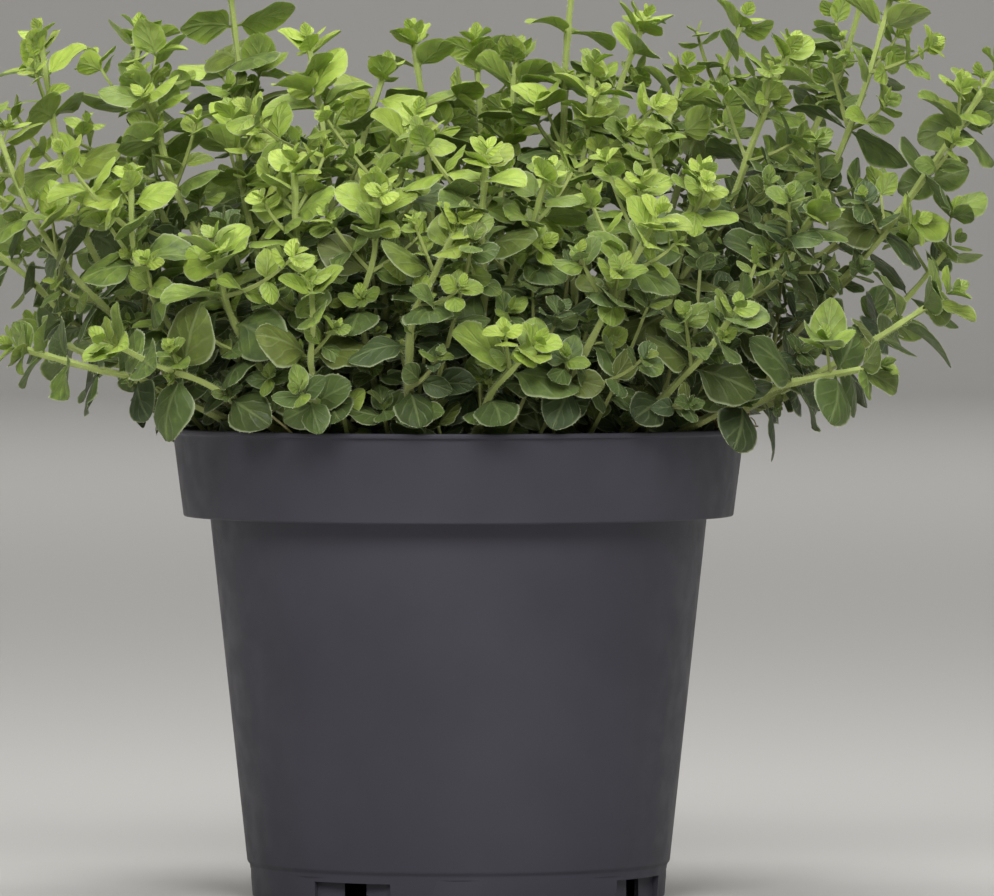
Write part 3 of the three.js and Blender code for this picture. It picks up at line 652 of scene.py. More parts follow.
def cross(first, second):
    """The cross products of vectors."""
    a, b, c = first[..., 0], first[..., 1], first[..., 2]
    d, e, f = second[..., 0], second[..., 1], second[..., 2]
    return np.stack([b * f - c * e, c * d - a * f, a * e - b * d], axis=-1)


def square_to(vectors, directions):
    """What is left of vectors across directions, with its length made 1."""
    along = np.sum(vectors * directions, axis=-1, keepdims=True)
    return unit(vectors - along * directions)


class StemPlan:
    """Where a stem runs and how its leaves lie, read from the welded points of its solid."""

    def __init__(self, node):
        welded = bmesh.new()
        welded.from_mesh(node.data)
        bmesh.ops.remove_doubles(welded, verts=welded.verts, dist=WELD)
        welded.verts.index_update()
        self.points = np.array([vertex.co for vertex in welded.verts])
        self.links = [sorted(e.other_vert(v).index for e in v.link_edges) for v in welded.verts]
        welded.free()
        tips = [i for i, links in enumerate(self.links) if len(links) == 3]
        leaves = [self.rings_behind(tip) for tip in tips]
        in_leaves = {i for tip, (rings, _) in zip(tips, leaves) for i in [tip, *sum(rings, [])]}
        self.rings = self.stem_rings([i for i in range(len(self.points)) if i not in in_leaves])
        self.ring_of = {i: number for number, ring in enumerate(self.rings) for i in ring}
        self.corners = self.points[np.array(self.rings)]
        self.middles = self.corners.mean(axis=1)
        stretches = np.linalg.norm(np.diff(self.middles, axis=0), axis=1)
        self.distances = np.concatenate([[0], np.cumsum(stretches)])
        self.leaves = [self.leaf(tip, *found) for tip, found in zip(tips, leaves)]
        self.leaves.sort(key=lambda leaf: (leaf["ring"], tuple(leaf["foot"])))

    def rings_behind(self, tip):
        """A leaf's rings of three points, from its tip inwards, and the opening that it grows from."""
        rings = [self.links[tip]]
        seen = {tip, *rings[0]}
        while True:
            beyond = sorted({j for i in rings[-1] for j in self.links[i]} - seen)
            if len(beyond) == 4:
                return rings, beyond
            rings.append(beyond)
            seen.update(beyond)

    def stem_rings(self, stem):
        """The stem's rings of four points, from its foot upwards, each point above the last one's."""
        left = set(stem)
        foot = sorted(stem, key=lambda i: self.points[i][2])[:4]
        middle = self.points[foot].mean(axis=0)
        ring = sorted(foot, key=lambda i: math.atan2(*(self.points[i] - middle)[1::-1]))
        rings = [ring]
        left -= set(ring)
        while left:
            above = sorted({j for i in ring for j in self.links[i]} & left)
            arms = unit(self.points[ring] - self.points[ring].mean(axis=0))
            arms_above = unit(self.points[above] - self.points[above].mean(axis=0))
            ring = [above[int(np.argmax(arms_above @ arm))] for arm in arms]
            rings.append(ring)
            left -= set(ring)
        return rings

    def leaf(self, tip, rings, opening):
        """One leaf: its foot, the points along its middle, and the way its right side points."""
        ring = min(self.ring_of[i] for i in opening)
        lower = self.points[[i for i in opening if self.ring_of[i] == ring]].mean(axis=0)
        upper = self.points[[i for i in opening if self.ring_of[i] > ring]].mean(axis=0)
        foot = (lower + upper) / 2
        growth = unit(upper - lower)
        outward = square_to(foot - (self.middles[ring] + self.middles[ring + 1]) / 2, growth)
        right = cross(growth, outward)
        sides, middles, widths = [], [foot], []
        for found in reversed(rings):
            corners = self.points[found]
            pairs = [(0, 1, 2), (1, 2, 0), (0, 2, 1)]
            a, b, rib = max(pairs, key=lambda p: np.linalg.norm(corners[p[0]] - corners[p[1]]))
            side = corners[b] - corners[a]
            widths.append(np.linalg.norm(side))
            side = unit(side) * np.sign(side @ (sides[-1] if sides else right))
            sides.append(side)
            halfway = (corners[a] + corners[b]) / 2
            bulge = corners[rib] - halfway
            middles.append(halfway + bulge / 3)
            if len(sides) == 1:
                folded = bulge @ growth < 0
        middles.append(self.points[tip])
        length = np.linalg.norm(np.diff(middles, axis=0), axis=1).sum()
        return {
            "ring": ring, "foot": foot, "growth": growth, "outward": outward, "right": right,
            "steps": (0.0, *RING_STEPS[len(rings)], 1.0), "middles": np.array(middles),
            "sides": np.array(sides), "length": length, "folded": bool(folded),
            "width": widths[0] / FIRST_RING_WIDTH[len(rings)], "youngest": len(rings) == 1,
        }


# ---- Building leaves, stems and hairs ----


def within(number):
    """A number brought between 0 and 1."""
    return float(np.clip(number, 0, 1))


def bend_up(direction, random, least, most):
    """How a shoot bends from its first direction towards the light."""
    return (UP - direction) * random.uniform(least, most)


def between(line, number, part):
    """Places on a line: a part of the way from each of its numbered points to the next."""
    return line[number] * (1 - part) + line[number + 1] * part


class Growth:
    """The points and faces of one piece, with the numbers that its materials read.

    Faces come as two arrays: the points at all their corners, and how many corners each face has.
    """

    def __init__(self):
        self.points, self.corners, self.sizes, self.kinds, self.uvs = [], [], [], [], []
        self.numbers = {"tone": [], "under": [], "hue": []}
        self.count = 0

    def add(self, points, faces, kind, tone, under=0.0, uvs=None, hue=0.5):
        """Adds points and faces. kind is their material's number."""
        corners, sizes = faces
        count = len(points)
        self.points.append(points)
        self.corners.append(corners + self.count)
        self.sizes.append(sizes)
        self.kinds.append(np.full(len(sizes), kind))
        for key, value in (("tone", tone), ("under", under), ("hue", hue)):
            self.numbers[key].append(np.broadcast_to(value, count))
        self.uvs.append(np.full((len(corners), 2), 0.5) if uvs is None else uvs)
        self.count += count

    def build(self, name, materials):
        """The piece as an object in the scene."""
        corners, sizes = np.concatenate(self.corners), np.concatenate(self.sizes)
        mesh = bpy.data.meshes.new(name)
        mesh.vertices.add(self.count)
        mesh.vertices.foreach_set("co", np.concatenate(self.points).ravel())
        mesh.loops.add(len(corners))
        mesh.loops.foreach_set("vertex_index", corners)
        mesh.polygons.add(len(sizes))
        mesh.polygons.foreach_set("loop_start", np.cumsum(sizes) - sizes)
        for material in materials:
            mesh.materials.append(material)
        mesh.polygons.foreach_set("material_index", np.concatenate(self.kinds))
        mesh.update(calc_edges=True)
        for key, values in self.numbers.items():
            numbers = mesh.attributes.new(key, "FLOAT", "POINT")
            numbers.data.foreach_set("value", np.concatenate(values).astype(np.float32))
        layer = mesh.uv_layers.new(name="blade")
        layer.data.foreach_set("uv", np.concatenate(self.uvs).astype(np.float32).ravel())
        obj = bpy.data.objects.new(name, mesh)
        bpy.context.scene.collection.objects.link(obj)
        return obj


def faces_of(mesh):
    """A modelled mesh's faces, as Growth takes them."""
    corners = np.array([i for face in mesh.polygons for i in face.vertices])
    return corners, np.array([len(face.vertices) for face in mesh.polygons])


LEAF, STEM, HAIR = 0, 1, 2

# Leaves shorter than these are small or medium ones, with fewer faces.
SMALL_LEAF = 5 * MM
MEDIUM_LEAF = 9.5 * MM

# Half the width of a leaf, as a share of its greatest, at places along it, from its stalk to its tip.
LEAF_OUTLINE = (
    (0.0, 0.06), (0.09, 0.08), (0.13, 0.36), (0.18, 0.62), (0.25, 0.83), (0.34, 0.96),
    (0.45, 1.0), (0.58, 0.97), (0.72, 0.86), (0.85, 0.64), (0.95, 0.36), (1.0, 0.12),
)
MEDIUM_LEAF_OUTLINE = (
    (0.0, 0.08), (0.08, 0.12), (0.15, 0.56), (0.27, 0.88), (0.44, 1.0), (0.62, 0.96), (0.79, 0.76),
    (0.93, 0.42), (1.0, 0.14),
)
SMALL_LEAF_OUTLINE = ((0.0, 0.12), (0.10, 0.48), (0.28, 0.90), (0.54, 1.0), (0.82, 0.70), (1.0, 0.20))


class Blade:
    """A flat leaf of length 1 and width 1, modelled once. Its copies are bent along their own lines."""

    def __init__(self, outline, columns):
        self.large = columns > 2
        deselect_all()
        rows = len(outline) - 1
        bpy.ops.mesh.primitive_grid_add(
            x_subdivisions=columns, y_subdivisions=rows, size=1, enter_editmode=True
        )
        grid = bpy.context.object
        edited = bmesh.from_edit_mesh(grid.data)
        for vertex in edited.verts:
            along, half = outline[round((vertex.co.y + 0.5) * rows)]
            vertex.co = Vector((vertex.co.x * half, along, 0))
        bmesh.update_edit_mesh(grid.data)
        bpy.ops.object.mode_set(mode="OBJECT")
        apply_modifier(grid, "SOLIDIFY", thickness=1.0, offset=0.0, use_rim=False)
        reach = [self.reach(x, y, outline) for x, y, _ in (v.co for v in grid.data.vertices)]
        for vertex, across in zip(grid.data.vertices, reach):
            at_edge = abs(across) > 0.99 or vertex.co.y < 0.001 or vertex.co.y > 0.999
            vertex.co.z = 0.0 if at_edge else math.copysign(0.5, vertex.co.z)
        choose(grid)
        bpy.ops.object.mode_set(mode="EDIT")
        bpy.ops.mesh.select_all(action="SELECT")
        bpy.ops.mesh.remove_doubles(threshold=1e-5)
        bpy.ops.object.mode_set(mode="OBJECT")
        mesh = grid.data
        self.points = np.array([vertex.co for vertex in mesh.vertices])
        self.faces = faces_of(mesh)
        self.across = np.array([self.reach(x, y, outline) for x, y, _ in self.points])
        corners = self.faces[0]
        self.uvs = np.column_stack([(self.across[corners] + 1) / 2, self.points[corners, 1]])
        self.under = (self.points[:, 2] < 0).astype(float)
        self.edges = [[self.nearest(h * half / 2, y) for y, half in outline[1:]] for h in (-1, 1)]
        self.insides = [[self.nearest(0, y) for y, _ in outline[1:]]] * 2
        bpy.data.objects.remove(grid)

    @staticmethod
    def reach(x, y, outline):
        """How far across the blade a point lies, from -1 at its left edge to 1 at its right."""
        places, halves = zip(*outline)
        return float(np.clip(2 * x / np.interp(y, places, halves), -1, 1))

    def nearest(self, x, y):
        """The upper point nearest to a place."""
        away = (self.points[:, 0] - x) ** 2 + (self.points[:, 1] - y) ** 2 + (self.points[:, 2] < -0.1)
        return int(np.argmin(away))


CURVE_OF_STEPS = {
    steps: np.linalg.inv(np.vander(steps)) for steps in (
        (0.0, 8 / 24, 17 / 24, 1.0), (0.0, 11 / 24, 1.0), (0.0, 1 / 3, 2 / 3, 1.0),
    )
}


def posture(leaf, along):
    """Middle, direction, right side and upper face of a leaf at places along it."""
    curve = CURVE_OF_STEPS[leaf["steps"]] @ leaf["middles"]
    order = len(curve) - 1
    middle = np.vander(along, order + 1) @ curve
    forward = unit(np.vander(along, order) @ (curve[:-1] * np.arange(order, 0, -1)[:, None]))
    first, last = leaf["sides"][0], leaf["sides"][-1]
    share = np.clip((along - leaf["steps"][1]) / 0.375, 0, 1)[:, None]
    side = square_to(first * (1 - share) + last * share, forward)
    return middle, forward, side, cross(forward, side)


def leaf_samples(leaf, rows=7):
    """Points spread over a leaf."""
    along, across = np.meshgrid(np.linspace(0.2, 1.0, rows), np.linspace(-0.8, 0.8, 5))
    along, across = along.ravel(), across.ravel()
    middle, _, side, _ = posture(leaf, along)
    half = leaf["width"] / 2 * np.sin(math.pi * np.clip(along * 0.9, 0, 1)) ** 0.5
    return middle + side * (across * half)[:, None]


def lay_leaf(growth, blade, leaf, tone, random, thickness):
    """Bends a copy of the blade along a leaf's line, and returns its points."""
    points, across = blade.points, blade.across
    along = points[:, 1]
    middle, _, side, face = posture(leaf, along)
    half = leaf["width"] / 2
    full = np.sin(math.pi * np.clip(along, 0, 1)) ** 0.6
    if leaf["folded"]:
        camber = random.uniform(0.18, 0.4) * np.abs(across) ** 1.3
    else:
        camber = -random.uniform(0.14, 0.4) * across**2 - 0.05 * (1 - np.abs(across)) ** 3
    waves = [
        0.06 * random.standard_normal() * np.sin(2 * math.pi * (n * along + random.random()))
        for n in (1, 2)
    ]
    tilt = 0.12 * random.standard_normal() * across
    height = half * (camber + sum(waves) * across**2 + tilt * along) * full + points[:, 2] * thickness
    blunt = 1 + float(np.clip(0.22 * random.standard_normal(), -0.4, 0.4)) * (along - 0.45)
    bent = middle + side * (points[:, 0] * blunt * leaf["width"])[:, None] + face * height[:, None]
    hue = within(0.5 + 0.25 * random.standard_normal())
    growth.add(bent, blade.faces, LEAF, tone, blade.under, blade.uvs, hue)
    return bent


def fringe(growth, blade, bent, leaf, random, settings):
    """Hairs along the edge of a leaf, whose points these are."""
    bases, ways = [], []
    count = int(1.15 * leaf["length"] / MM * settings.edge_hairs * (1.0 if blade.large else 0.55))
    for edge, inside in zip(blade.edges, blade.insides):
        line, spine = bent[edge], bent[inside]
        place = random.uniform(0, len(edge) - 1.001, count)
        number, part = place.astype(int), (place % 1)[:, None]
        base = between(line, number, part)
        outward = unit(base - between(spine, number, part) + 1e-9)
        forward = unit(line[number + 1] - line[number])
        bases.append(base - outward * 0.05 * MM)
        ways.append(unit(outward + 0.5 * forward + 0.3 * random.standard_normal((count, 3))))
    lengths = settings.hair * random.uniform(0.18, 0.45, 2 * count)
    spikes(growth, np.concatenate(bases), np.concatenate(ways), lengths, HAIR_RADIUS, 0.5)


def spikes(growth, bases, directions, lengths, radius, tone):
    """Hairs, each a slender closed spike."""
    count = len(bases)
    if not count:
        return
    helper = np.where(np.abs(directions[:, 2:]) < 0.9, [[0, 0, 1]], [[1, 0, 0]])
    first = unit(cross(directions, helper))
    second = cross(directions, first)
    ring = []
    for k in range(3):
        angle = 2 * math.pi * k / 3
        ring.append(bases + radius * (math.cos(angle) * first + math.sin(angle) * second))
    points = np.stack([*ring, bases + directions * lengths[:, None]], axis=1).reshape(-1, 3)
    corners = (4 * np.arange(count)[:, None] + [0, 1, 3, 1, 2, 3, 2, 0, 3, 2, 1, 0]).ravel()
    growth.add(points, (corners, np.full(4 * count, 3)), HAIR, tone)


def smooth_line(points, distances, spacing):
    """A finer line through points, with the places of its points along it."""
    count = max(2, int(math.ceil((distances[-1] - distances[0]) / spacing)))
    fine = np.linspace(distances[0], distances[-1], count + 1)
    slopes = np.gradient(points, distances, axis=0)
    number = np.clip(np.searchsorted(distances, fine, side="right") - 1, 0, len(distances) - 2)
    step = (distances[number + 1] - distances[number])[:, None]
    t = ((fine - distances[number]) / step[:, 0])[:, None]
    start, end = points[number], points[number + 1]
    m0, m1 = slopes[number] * step, slopes[number + 1] * step
    line = (2 * t**3 - 3 * t**2 + 1) * start + (t**3 - 2 * t**2 + t) * m0
    line += (-2 * t**3 + 3 * t**2) * end + (t**3 - t**2) * m1
    return line, fine


def tube(growth, line, radii, arms, tone, sides=8, kind=STEM):
    """A stem along a line: square with soft corners, closed at both ends. arms points to a corner."""
    forward = unit(np.gradient(line, axis=0))
    arms = square_to(arms, forward)
    others = cross(forward, arms)
    rings = []
    for k in range(sides):
        angle = 2 * math.pi * k / sides
        bulge = 1.0 if sides < 8 or k % 2 == 0 else 0.83
        out = math.cos(angle) * arms + math.sin(angle) * others
        rings.append(line + out * (radii * bulge)[:, None])
    points = np.stack(rings, axis=1).reshape(-1, 3)
    low = np.arange((len(line) - 1) * sides)
    after = low - low % sides + (low + 1) % sides
    walls = np.stack([low, after, after + sides, low + sides], axis=1).ravel()
    end = np.arange(sides)
    corners = np.concatenate([walls, end[::-1], len(points) - sides + end])
    growth.add(points, (corners, np.array([4] * len(low) + [sides] * 2)), kind, np.repeat(tone, sides))
    return forward, arms, others


def arc_leaf(foot, outward, upward, length, width, lift, curl, roll, folded):
    """A new leaf on a curved line. lift is its rise at its foot, and curl how far it bends down."""
    fine = np.linspace(0, 1, 13)
    pitch = np.radians(lift - curl * fine)[:, None]
    directions = outward * np.cos(pitch) + upward * np.sin(pitch)
    line = foot + np.concatenate([[np.zeros(3)], np.cumsum(directions[:-1] * length / 12, axis=0)])
    right = unit(cross(upward, outward))
    level = cross(directions[4], right)
    side = right * math.cos(roll) + level * math.sin(roll)
    return {
        "foot": foot, "steps": (0.0, 1 / 3, 2 / 3, 1.0), "middles": line[::4], "sides": [side, side],
        "length": length, "width": width, "folded": folded, "growth": upward, "outward": outward,
    }


def light_roll(foot, outward, upward, most=0.9):
    """The roll that turns a leaf's upper face to the light, which is above and outside."""
    right = unit(cross(upward, outward))
    light = np.array([foot[0] * 22, foot[1] * 22, 1.0])
    level = upward - outward * 0.2
    return float(np.clip(0.7 * math.atan2(-(light @ right), abs(light @ level) + 0.05), -most, most))


def leaf_pair(foot, forward, across, length, lift, curl, tone, random):
    """Two opposite leaves, each with its tone."""
    pair = []
    for hand in (-1, 1):
        outward = square_to(across * hand, forward)
        size = length * random.uniform(0.88, 1.12)
        roll = light_roll(foot, outward, forward) * 0.7 + 0.2 * random.standard_normal()
        rise, bend = lift + random.uniform(-12, 12), curl + random.uniform(-14, 14)
        width = size * random.uniform(0.66, 0.86)
        leaf = arc_leaf(foot, outward, forward, size, width, rise, bend, roll, random.random() < 0.35)
        pair.append((leaf, within(tone + random.uniform(-0.07, 0.07))))
    return pair


def bud_leaves(foot, forward, across, length, tone, random, pairs=2):
    """The young leaves at the tip of a shoot, closer and steeper from pair to pair."""
    leaves = []
    for number in range(pairs):
        share = (number + 1) / pairs
        size = length * (1 - 0.6 * share) / (1 - 0.6 / pairs)
        turned = across + cross(forward, across) * random.uniform(-0.35, 0.35)
        leaves += leaf_pair(
            foot, forward, turned, size, 14 + 50 * share, 46 - 24 * share, tone + 0.1 * share, random
        )
        across = cross(forward, across)
        foot = foot + forward * 0.26 * size
    return leaves


def plan_shoot(foot, direction, bend, length, pairs, leaf_length, tone, random):
    """A side shoot: a thin stem that bends towards the light, crosswise pairs of leaves and a bud."""
    count = max(3, int(length / (2.6 * MM)) + 1)
    share = np.linspace(0, 1, count)[:, None]
    line = foot + direction * length * share + bend * length * 0.5 * share**2
    arm = square_to(np.array([math.cos(foot[0] * 900), math.sin(foot[0] * 900), 0.3]), unit(direction))
    leaves = []
    across = arm
    for number in range(pairs):
        place = (number + 1 - 0.35 * (pairs > 1)) / pairs
        at = foot + direction * length * place + bend * length * 0.5 * place**2
        forward = unit(direction + bend * place)
        size = leaf_length * (1 - 0.35 * place * (pairs > 1))
        leaves += leaf_pair(
            at, forward, across, size, 24 + 24 * place, 58 - 28 * place, tone + 0.15 * place, random
        )
        across = cross(forward, across)
    tip_size = leaf_length * (0.6 if pairs > 1 else 0.66)
    leaves += bud_leaves(line[-1], unit(direction + bend), across, tip_size, min(tone + 0.2, 1.0), random)
    thickness = min(1.0, 0.5 + length / (30 * MM))
    return {"line": line, "arm": arm, "radii": np.linspace(0.62, 0.4, count) * MM * thickness,
            "leaves": leaves, "tone": 0.35 + 0.5 * tone}


class Room:
    """The small cubes of space that leaves and stems fill, so that new ones keep clear of them."""

    CELL = 1.5 * MM
    COARSE_CELL = 8 * MM
    NEIGHBOURS = [(i, j, k) for i in (-1, 0, 1) for j in (-1, 0, 1) for k in (-1, 0, 1)]
    BUSHY = 95  # points of grown leaves, in a coarse cube and its neighbours
    # The space that is closed for the pot: beside its rim, and all of it under the collar's height.
    COLLAR_HEIGHT = 84 * MM
    SOIL_RADIUS, RIM_INSIDE, RIM_OUTSIDE = 61 * MM, 58.5 * MM, 66 * MM

    def __init__(self):
        self.filled = set()
        self.bulk = {}

    def cells(self, points):
        """The cubes that hold these points."""
        return set(map(tuple, np.floor(points / self.CELL).astype(int)))

    def fill(self, points):
        """Marks the points' cubes as filled."""
        self.filled |= self.cells(points)

    def thicken(self, points):
        """Counts the points of a grown leaf towards the bulk of the bush."""
        for cell in map(tuple, np.floor(points / self.COARSE_CELL).astype(int)):
            self.bulk[cell] = self.bulk.get(cell, 0) + 1

    def in_bush(self, point):
        """Whether there are enough grown leaves near a place for it to lie in the bush."""
        i, j, k = np.floor(point / self.COARSE_CELL).astype(int)
        return sum(self.bulk.get((i + a, j + b, k + c), 0) for a, b, c in self.NEIGHBOURS) > self.BUSHY

    def crowding(self, points, anywhere=False):
        """The share of the points' cubes that is filled, or 1 where they meet the pot or leave the bush."""
        distance, height = np.hypot(points[:, 0], points[:, 1]), points[:, 2]
        rim = POT_HIGH.z + 1.2 * MM
        in_soil = (height < SOIL_HIGH.z) & (distance < self.SOIL_RADIUS)
        at_wall = (distance > self.RIM_INSIDE) & (distance < self.RIM_OUTSIDE)
        in_wall = (height > self.COLLAR_HEIGHT) & (height < rim) & at_wall
        in_body = (height < self.COLLAR_HEIGHT) & (distance < self.RIM_OUTSIDE)
        outside = np.any(points < np.array(CAD_BOX[0])) or np.any(points > np.array(CAD_BOX[1]))
        if not anywhere:
            outside = outside or np.any(distance > 86 * MM + 0.65 * (height - 115 * MM))
            outside = outside or np.any(height > 178 * MM + 0.3 * np.abs(points[:, 0] + 12 * MM))
        if outside or in_soil.any() or in_wall.any() or in_body.any():
            return 1.0
        cells = self.cells(points)
        return len(cells & self.filled) / len(cells)


class Plant:
    """What all stems share: the modelled blades, the room that is taken, and the settings."""

    def __init__(self, settings):
        self.settings = settings
        self.blade = Blade(LEAF_OUTLINE, 4)
        self.medium_blade = Blade(MEDIUM_LEAF_OUTLINE, 2)
        self.small_blade = Blade(SMALL_LEAF_OUTLINE, 2)
        self.room = Room()

    @staticmethod
    def hidden(place):
        """Whether a place lies deep in the bush."""
        return math.hypot(place[0], place[1]) < HIDDEN_RADIUS and place[2] < HIDDEN_HEIGHT

    def leaf(self, growth, leaf, tone, random):
        """A leaf with its fringe of hairs. Deep in the bush it is bare, and a new one plainer."""
        hidden = self.hidden(leaf["middles"][-1])
        blade = self.blade
        if leaf["length"] < SMALL_LEAF:
            blade = self.small_blade
        elif leaf["length"] < MEDIUM_LEAF or (hidden and "ring" not in leaf):
            blade = self.medium_blade
        thickness = self.settings.blade * (1.0 if blade.large else 0.75)
        bent = lay_leaf(growth, blade, leaf, tone, random, thickness)
        if not hidden:
            fringe(growth, blade, bent, leaf, random, self.settings)

    def grow(self, growth, shoot, random):
        """Adds a planned side shoot."""
        count = len(shoot["line"])
        arms = np.tile(shoot["arm"], (count, 1))
        tube(growth, shoot["line"], shoot["radii"], arms, np.full(count, shoot["tone"]), sides=4)
        for leaf, tone in shoot["leaves"]:
            self.leaf(growth, leaf, tone, random)

    def place(self, growth, plans, random, most=0.08, anywhere=False):
        """Grows the least crowded of some planned shoots, if it has room."""
        best = (1.0, None, None)
        for shoot in plans:
            foot = shoot["line"][0]
            points = np.concatenate([leaf_samples(leaf, 5) for leaf, _ in shoot["leaves"]])
            points = points[np.linalg.norm(points - foot, axis=1) > 2.4 * MM]
            crowding = self.room.crowding(points, anywhere)
            if crowding < best[0]:
                best = (crowding, shoot, points)
            if crowding < 0.02:
                break
        crowding, shoot, points = best
        if crowding > most:
            return False
        self.grow(growth, shoot, random)
        self.room.fill(points)
        self.room.fill(shoot["line"][1:])
        return True

    def thread(self, growth, plans, random, most=0.12):
        """Grows, of some planned shoots, the one with most leaves that have room, and only those leaves."""
        best = None
        for shoot in plans:
            if self.room.crowding(shoot["line"][3:]) > 0.3:
                continue
            free = []
            for leaf, tone in shoot["leaves"]:
                points = leaf_samples(leaf, 5)
                points = points[np.linalg.norm(points - leaf["foot"], axis=1) > 2 * MM]
                if self.room.crowding(points) <= most:
                    free.append(((leaf, tone), points))
            if best is None or len(free) > len(best[1]):
                best = (shoot, free)
        if best is None or len(best[1]) < 4:
            return
        shoot, free = best
        shoot["leaves"] = [leaf for leaf, _ in free]
        self.grow(growth, shoot, random)
        self.room.fill(np.concatenate([points for _, points in free] + [shoot["line"][1:]]))


# Thin places in the bush, across and up (millimetres), that the nearest stem sends a shoot to.
THIN_PLACES = (
    (-64, 190), (-55, 184), (-68, 180), (-42, 184), (-34, 181), (-3, 182), (8, 184), (-92, 152),
    (-97, 146), (19, 177), (14, 169), (92, 163), (99, 157), (108, 155), (104, 148), (88, 131),
    (92, 138), (82, 126),
)

# Low bright shoots near the rim: place across and deep, length, leaf length (millimetres), tone.
BRIGHT_SHOOTS = (
    (-23, -50, 16, 10, 0.95), (-19, -52, 8, 10, 0.9), (31, -48, 15, 9, 0.5), (-49, 26, 20, 9, 0.6),
    (44, 35, 18, 9, 0.6),
)


class OREGANO_OT_leafy_stems(bpy.types.Operator):
    """Build each leafy stem along its solid: square hairy stem, leaves, side shoots and buds"""

    bl_idname = "oregano.leafy_stems"
    bl_label = "Leafy stems"
    settings_key = "oregano_plant"

    def execute(self, context):
        settings = context.scene.oregano_plant
        plant = Plant(settings)
        materials = [leaf_finish(settings), stem_finish(settings), hair_finish()]
        plans = {node: StemPlan(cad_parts[node]) for node in STEM_NODES}
        for plan in plans.values():
            line, _ = smooth_line(plan.middles, plan.distances, 1 * MM)
            plant.room.fill(line)
            for leaf in plan.leaves:
                leaf["width"] *= settings.leaf_breadth
                plant.room.fill(leaf_samples(leaf, 10))
                plant.room.thicken(leaf_samples(leaf, 10))
        growths = []
        for number, plan in enumerate(plans.values()):
            random = np.random.default_rng(settings.seed + number)
            growths.append(self.leafy_stem(plant, plan, random))
        random = np.random.default_rng(settings.seed + 400)
        for _ in range(settings.twigs):
            for growth, plan in zip(growths, plans.values()):
                self.twigs(plant, growth, plan, random)
        for x, z in THIN_PLACES:
            self.fill_place(plant, growths, list(plans.values()), x * MM, z * MM, random)
        for node, growth in zip(plans, growths):
            finish_piece(growth.build(node + "_fine", materials), node, 55)
        for number, growth in enumerate(self.low_shoots(plant, settings)):
            piece = growth.build("low_shoots_%d" % (number + 1), materials)
            finish_piece(piece, None, 55)
        return {"FINISHED"}

    def leafy_stem(self, plant, plan, random):
        """One stem with all that grows on it."""
        growth = Growth()
        length = plan.distances[-1]
        # Stems whose tips lie far to the right are made darker, and each stem's tone is shifted at random.
        duller = 0.19 * within((plan.middles[-1][0] / MM - 40) / 40)
        liveliness = plan.liveliness = random.uniform(-0.1, 0.1) - duller
        self.bare_stem(growth, plan, random, plant.settings)
        for leaf in plan.leaves:
            at = plan.distances[leaf["ring"]] / length
            tone = self.tone(at, leaf["foot"], liveliness) + random.uniform(-0.1, 0.1)
            plant.leaf(growth, leaf, within(tone), random)
            if not leaf["youngest"]:
                self.axil(plant, growth, leaf, at, tone, random)
        forward = unit(plan.middles[-1] - plan.middles[-2])
        arm = plan.corners[-1][0] + plan.corners[-1][1] - 2 * plan.middles[-1]
        tip_leaves = [leaf["length"] for leaf in plan.leaves if leaf["youngest"]]
        size = 0.85 * (max(tip_leaves) if tip_leaves else 6 * MM)
        tip_tone = within(self.tone(1.0, plan.middles[-1], liveliness))
        tip = bud_leaves(plan.middles[-1], forward, square_to(arm, forward), size, tip_tone, random, 3)
        for leaf, tone in tip:
            plant.leaf(growth, leaf, tone, random)
        return growth

    @staticmethod
    def tone(at, place, liveliness):
        """How bright a leaf is: 0 is old and dark, 1 young and bright. It rises towards the stem's tip, and
        leaves lower down are made duller.
        """
        height = np.clip((place[2] / MM - 104) / 60, 0, 1)
        return -0.01 + 0.26 * at + (0.34 + 0.24 * height) * at**4 + 0.16 * height + liveliness

    @staticmethod
    def bare_stem(growth, plan, random, settings):
        """The stem itself, swollen at its leaf pairs, with its hairs."""
        line, places = smooth_line(plan.middles, plan.distances, 2.4 * MM)
        arms = plan.corners[:, 0] - plan.middles
        share = places / places[-1]
        radius = np.interp(places, plan.distances, np.linalg.norm(arms, axis=1)) * (1.04 - 0.2 * share)
        for ring in sorted({leaf["ring"] for leaf in plan.leaves}):
            node = (plan.distances[ring] + plan.distances[ring + 1]) / 2
            radius += 0.22 * MM * np.exp(-(((places - node) / (1.7 * MM)) ** 2))
        arm = np.stack([np.interp(places, plan.distances, arms[:, k]) for k in range(3)], axis=-1)
        tones = np.clip(0.05 + 1.25 * (share - 0.12), 0.02, 1.0)
        forward, side, other = tube(growth, line, radius, arm, tones)
        girth = 2 * math.pi * radius.mean() / MM
        count = int(places[-1] / MM * girth * settings.stem_hairs)
        number = random.integers(4, len(line) - 1, count)
        part = random.random(count)[:, None]
        base = between(line, number, part)
        angle = (random.random(count) * 2 * math.pi)[:, None]
        out = side[number] * np.cos(angle) + other[number] * np.sin(angle)
        direction = unit(out + forward[number] * random.uniform(-0.5, 0.3, (count, 1)))
        lengths = settings.hair * random.uniform(0.4, 1.0, count)
        bases = base + out * radius[number][:, None] * 0.8
        shown = (np.hypot(bases[:, 0], bases[:, 1]) > HIDDEN_RADIUS) | (bases[:, 2] > HIDDEN_HEIGHT)
        spikes(growth, bases[shown], direction[shown], lengths[shown], HAIR_RADIUS, 0.5)

    @staticmethod
    def axil(plant, growth, leaf, at, tone, random):
        """What grows between a leaf and the stem: a small shoot, or a longer one lower down."""
        growth_way, outward = leaf["growth"], leaf["outward"]
        chance = random.random()
        longer = at < 0.88 and chance < plant.settings.side_shoots
        if not longer and chance > plant.settings.axil_shoots:
            return

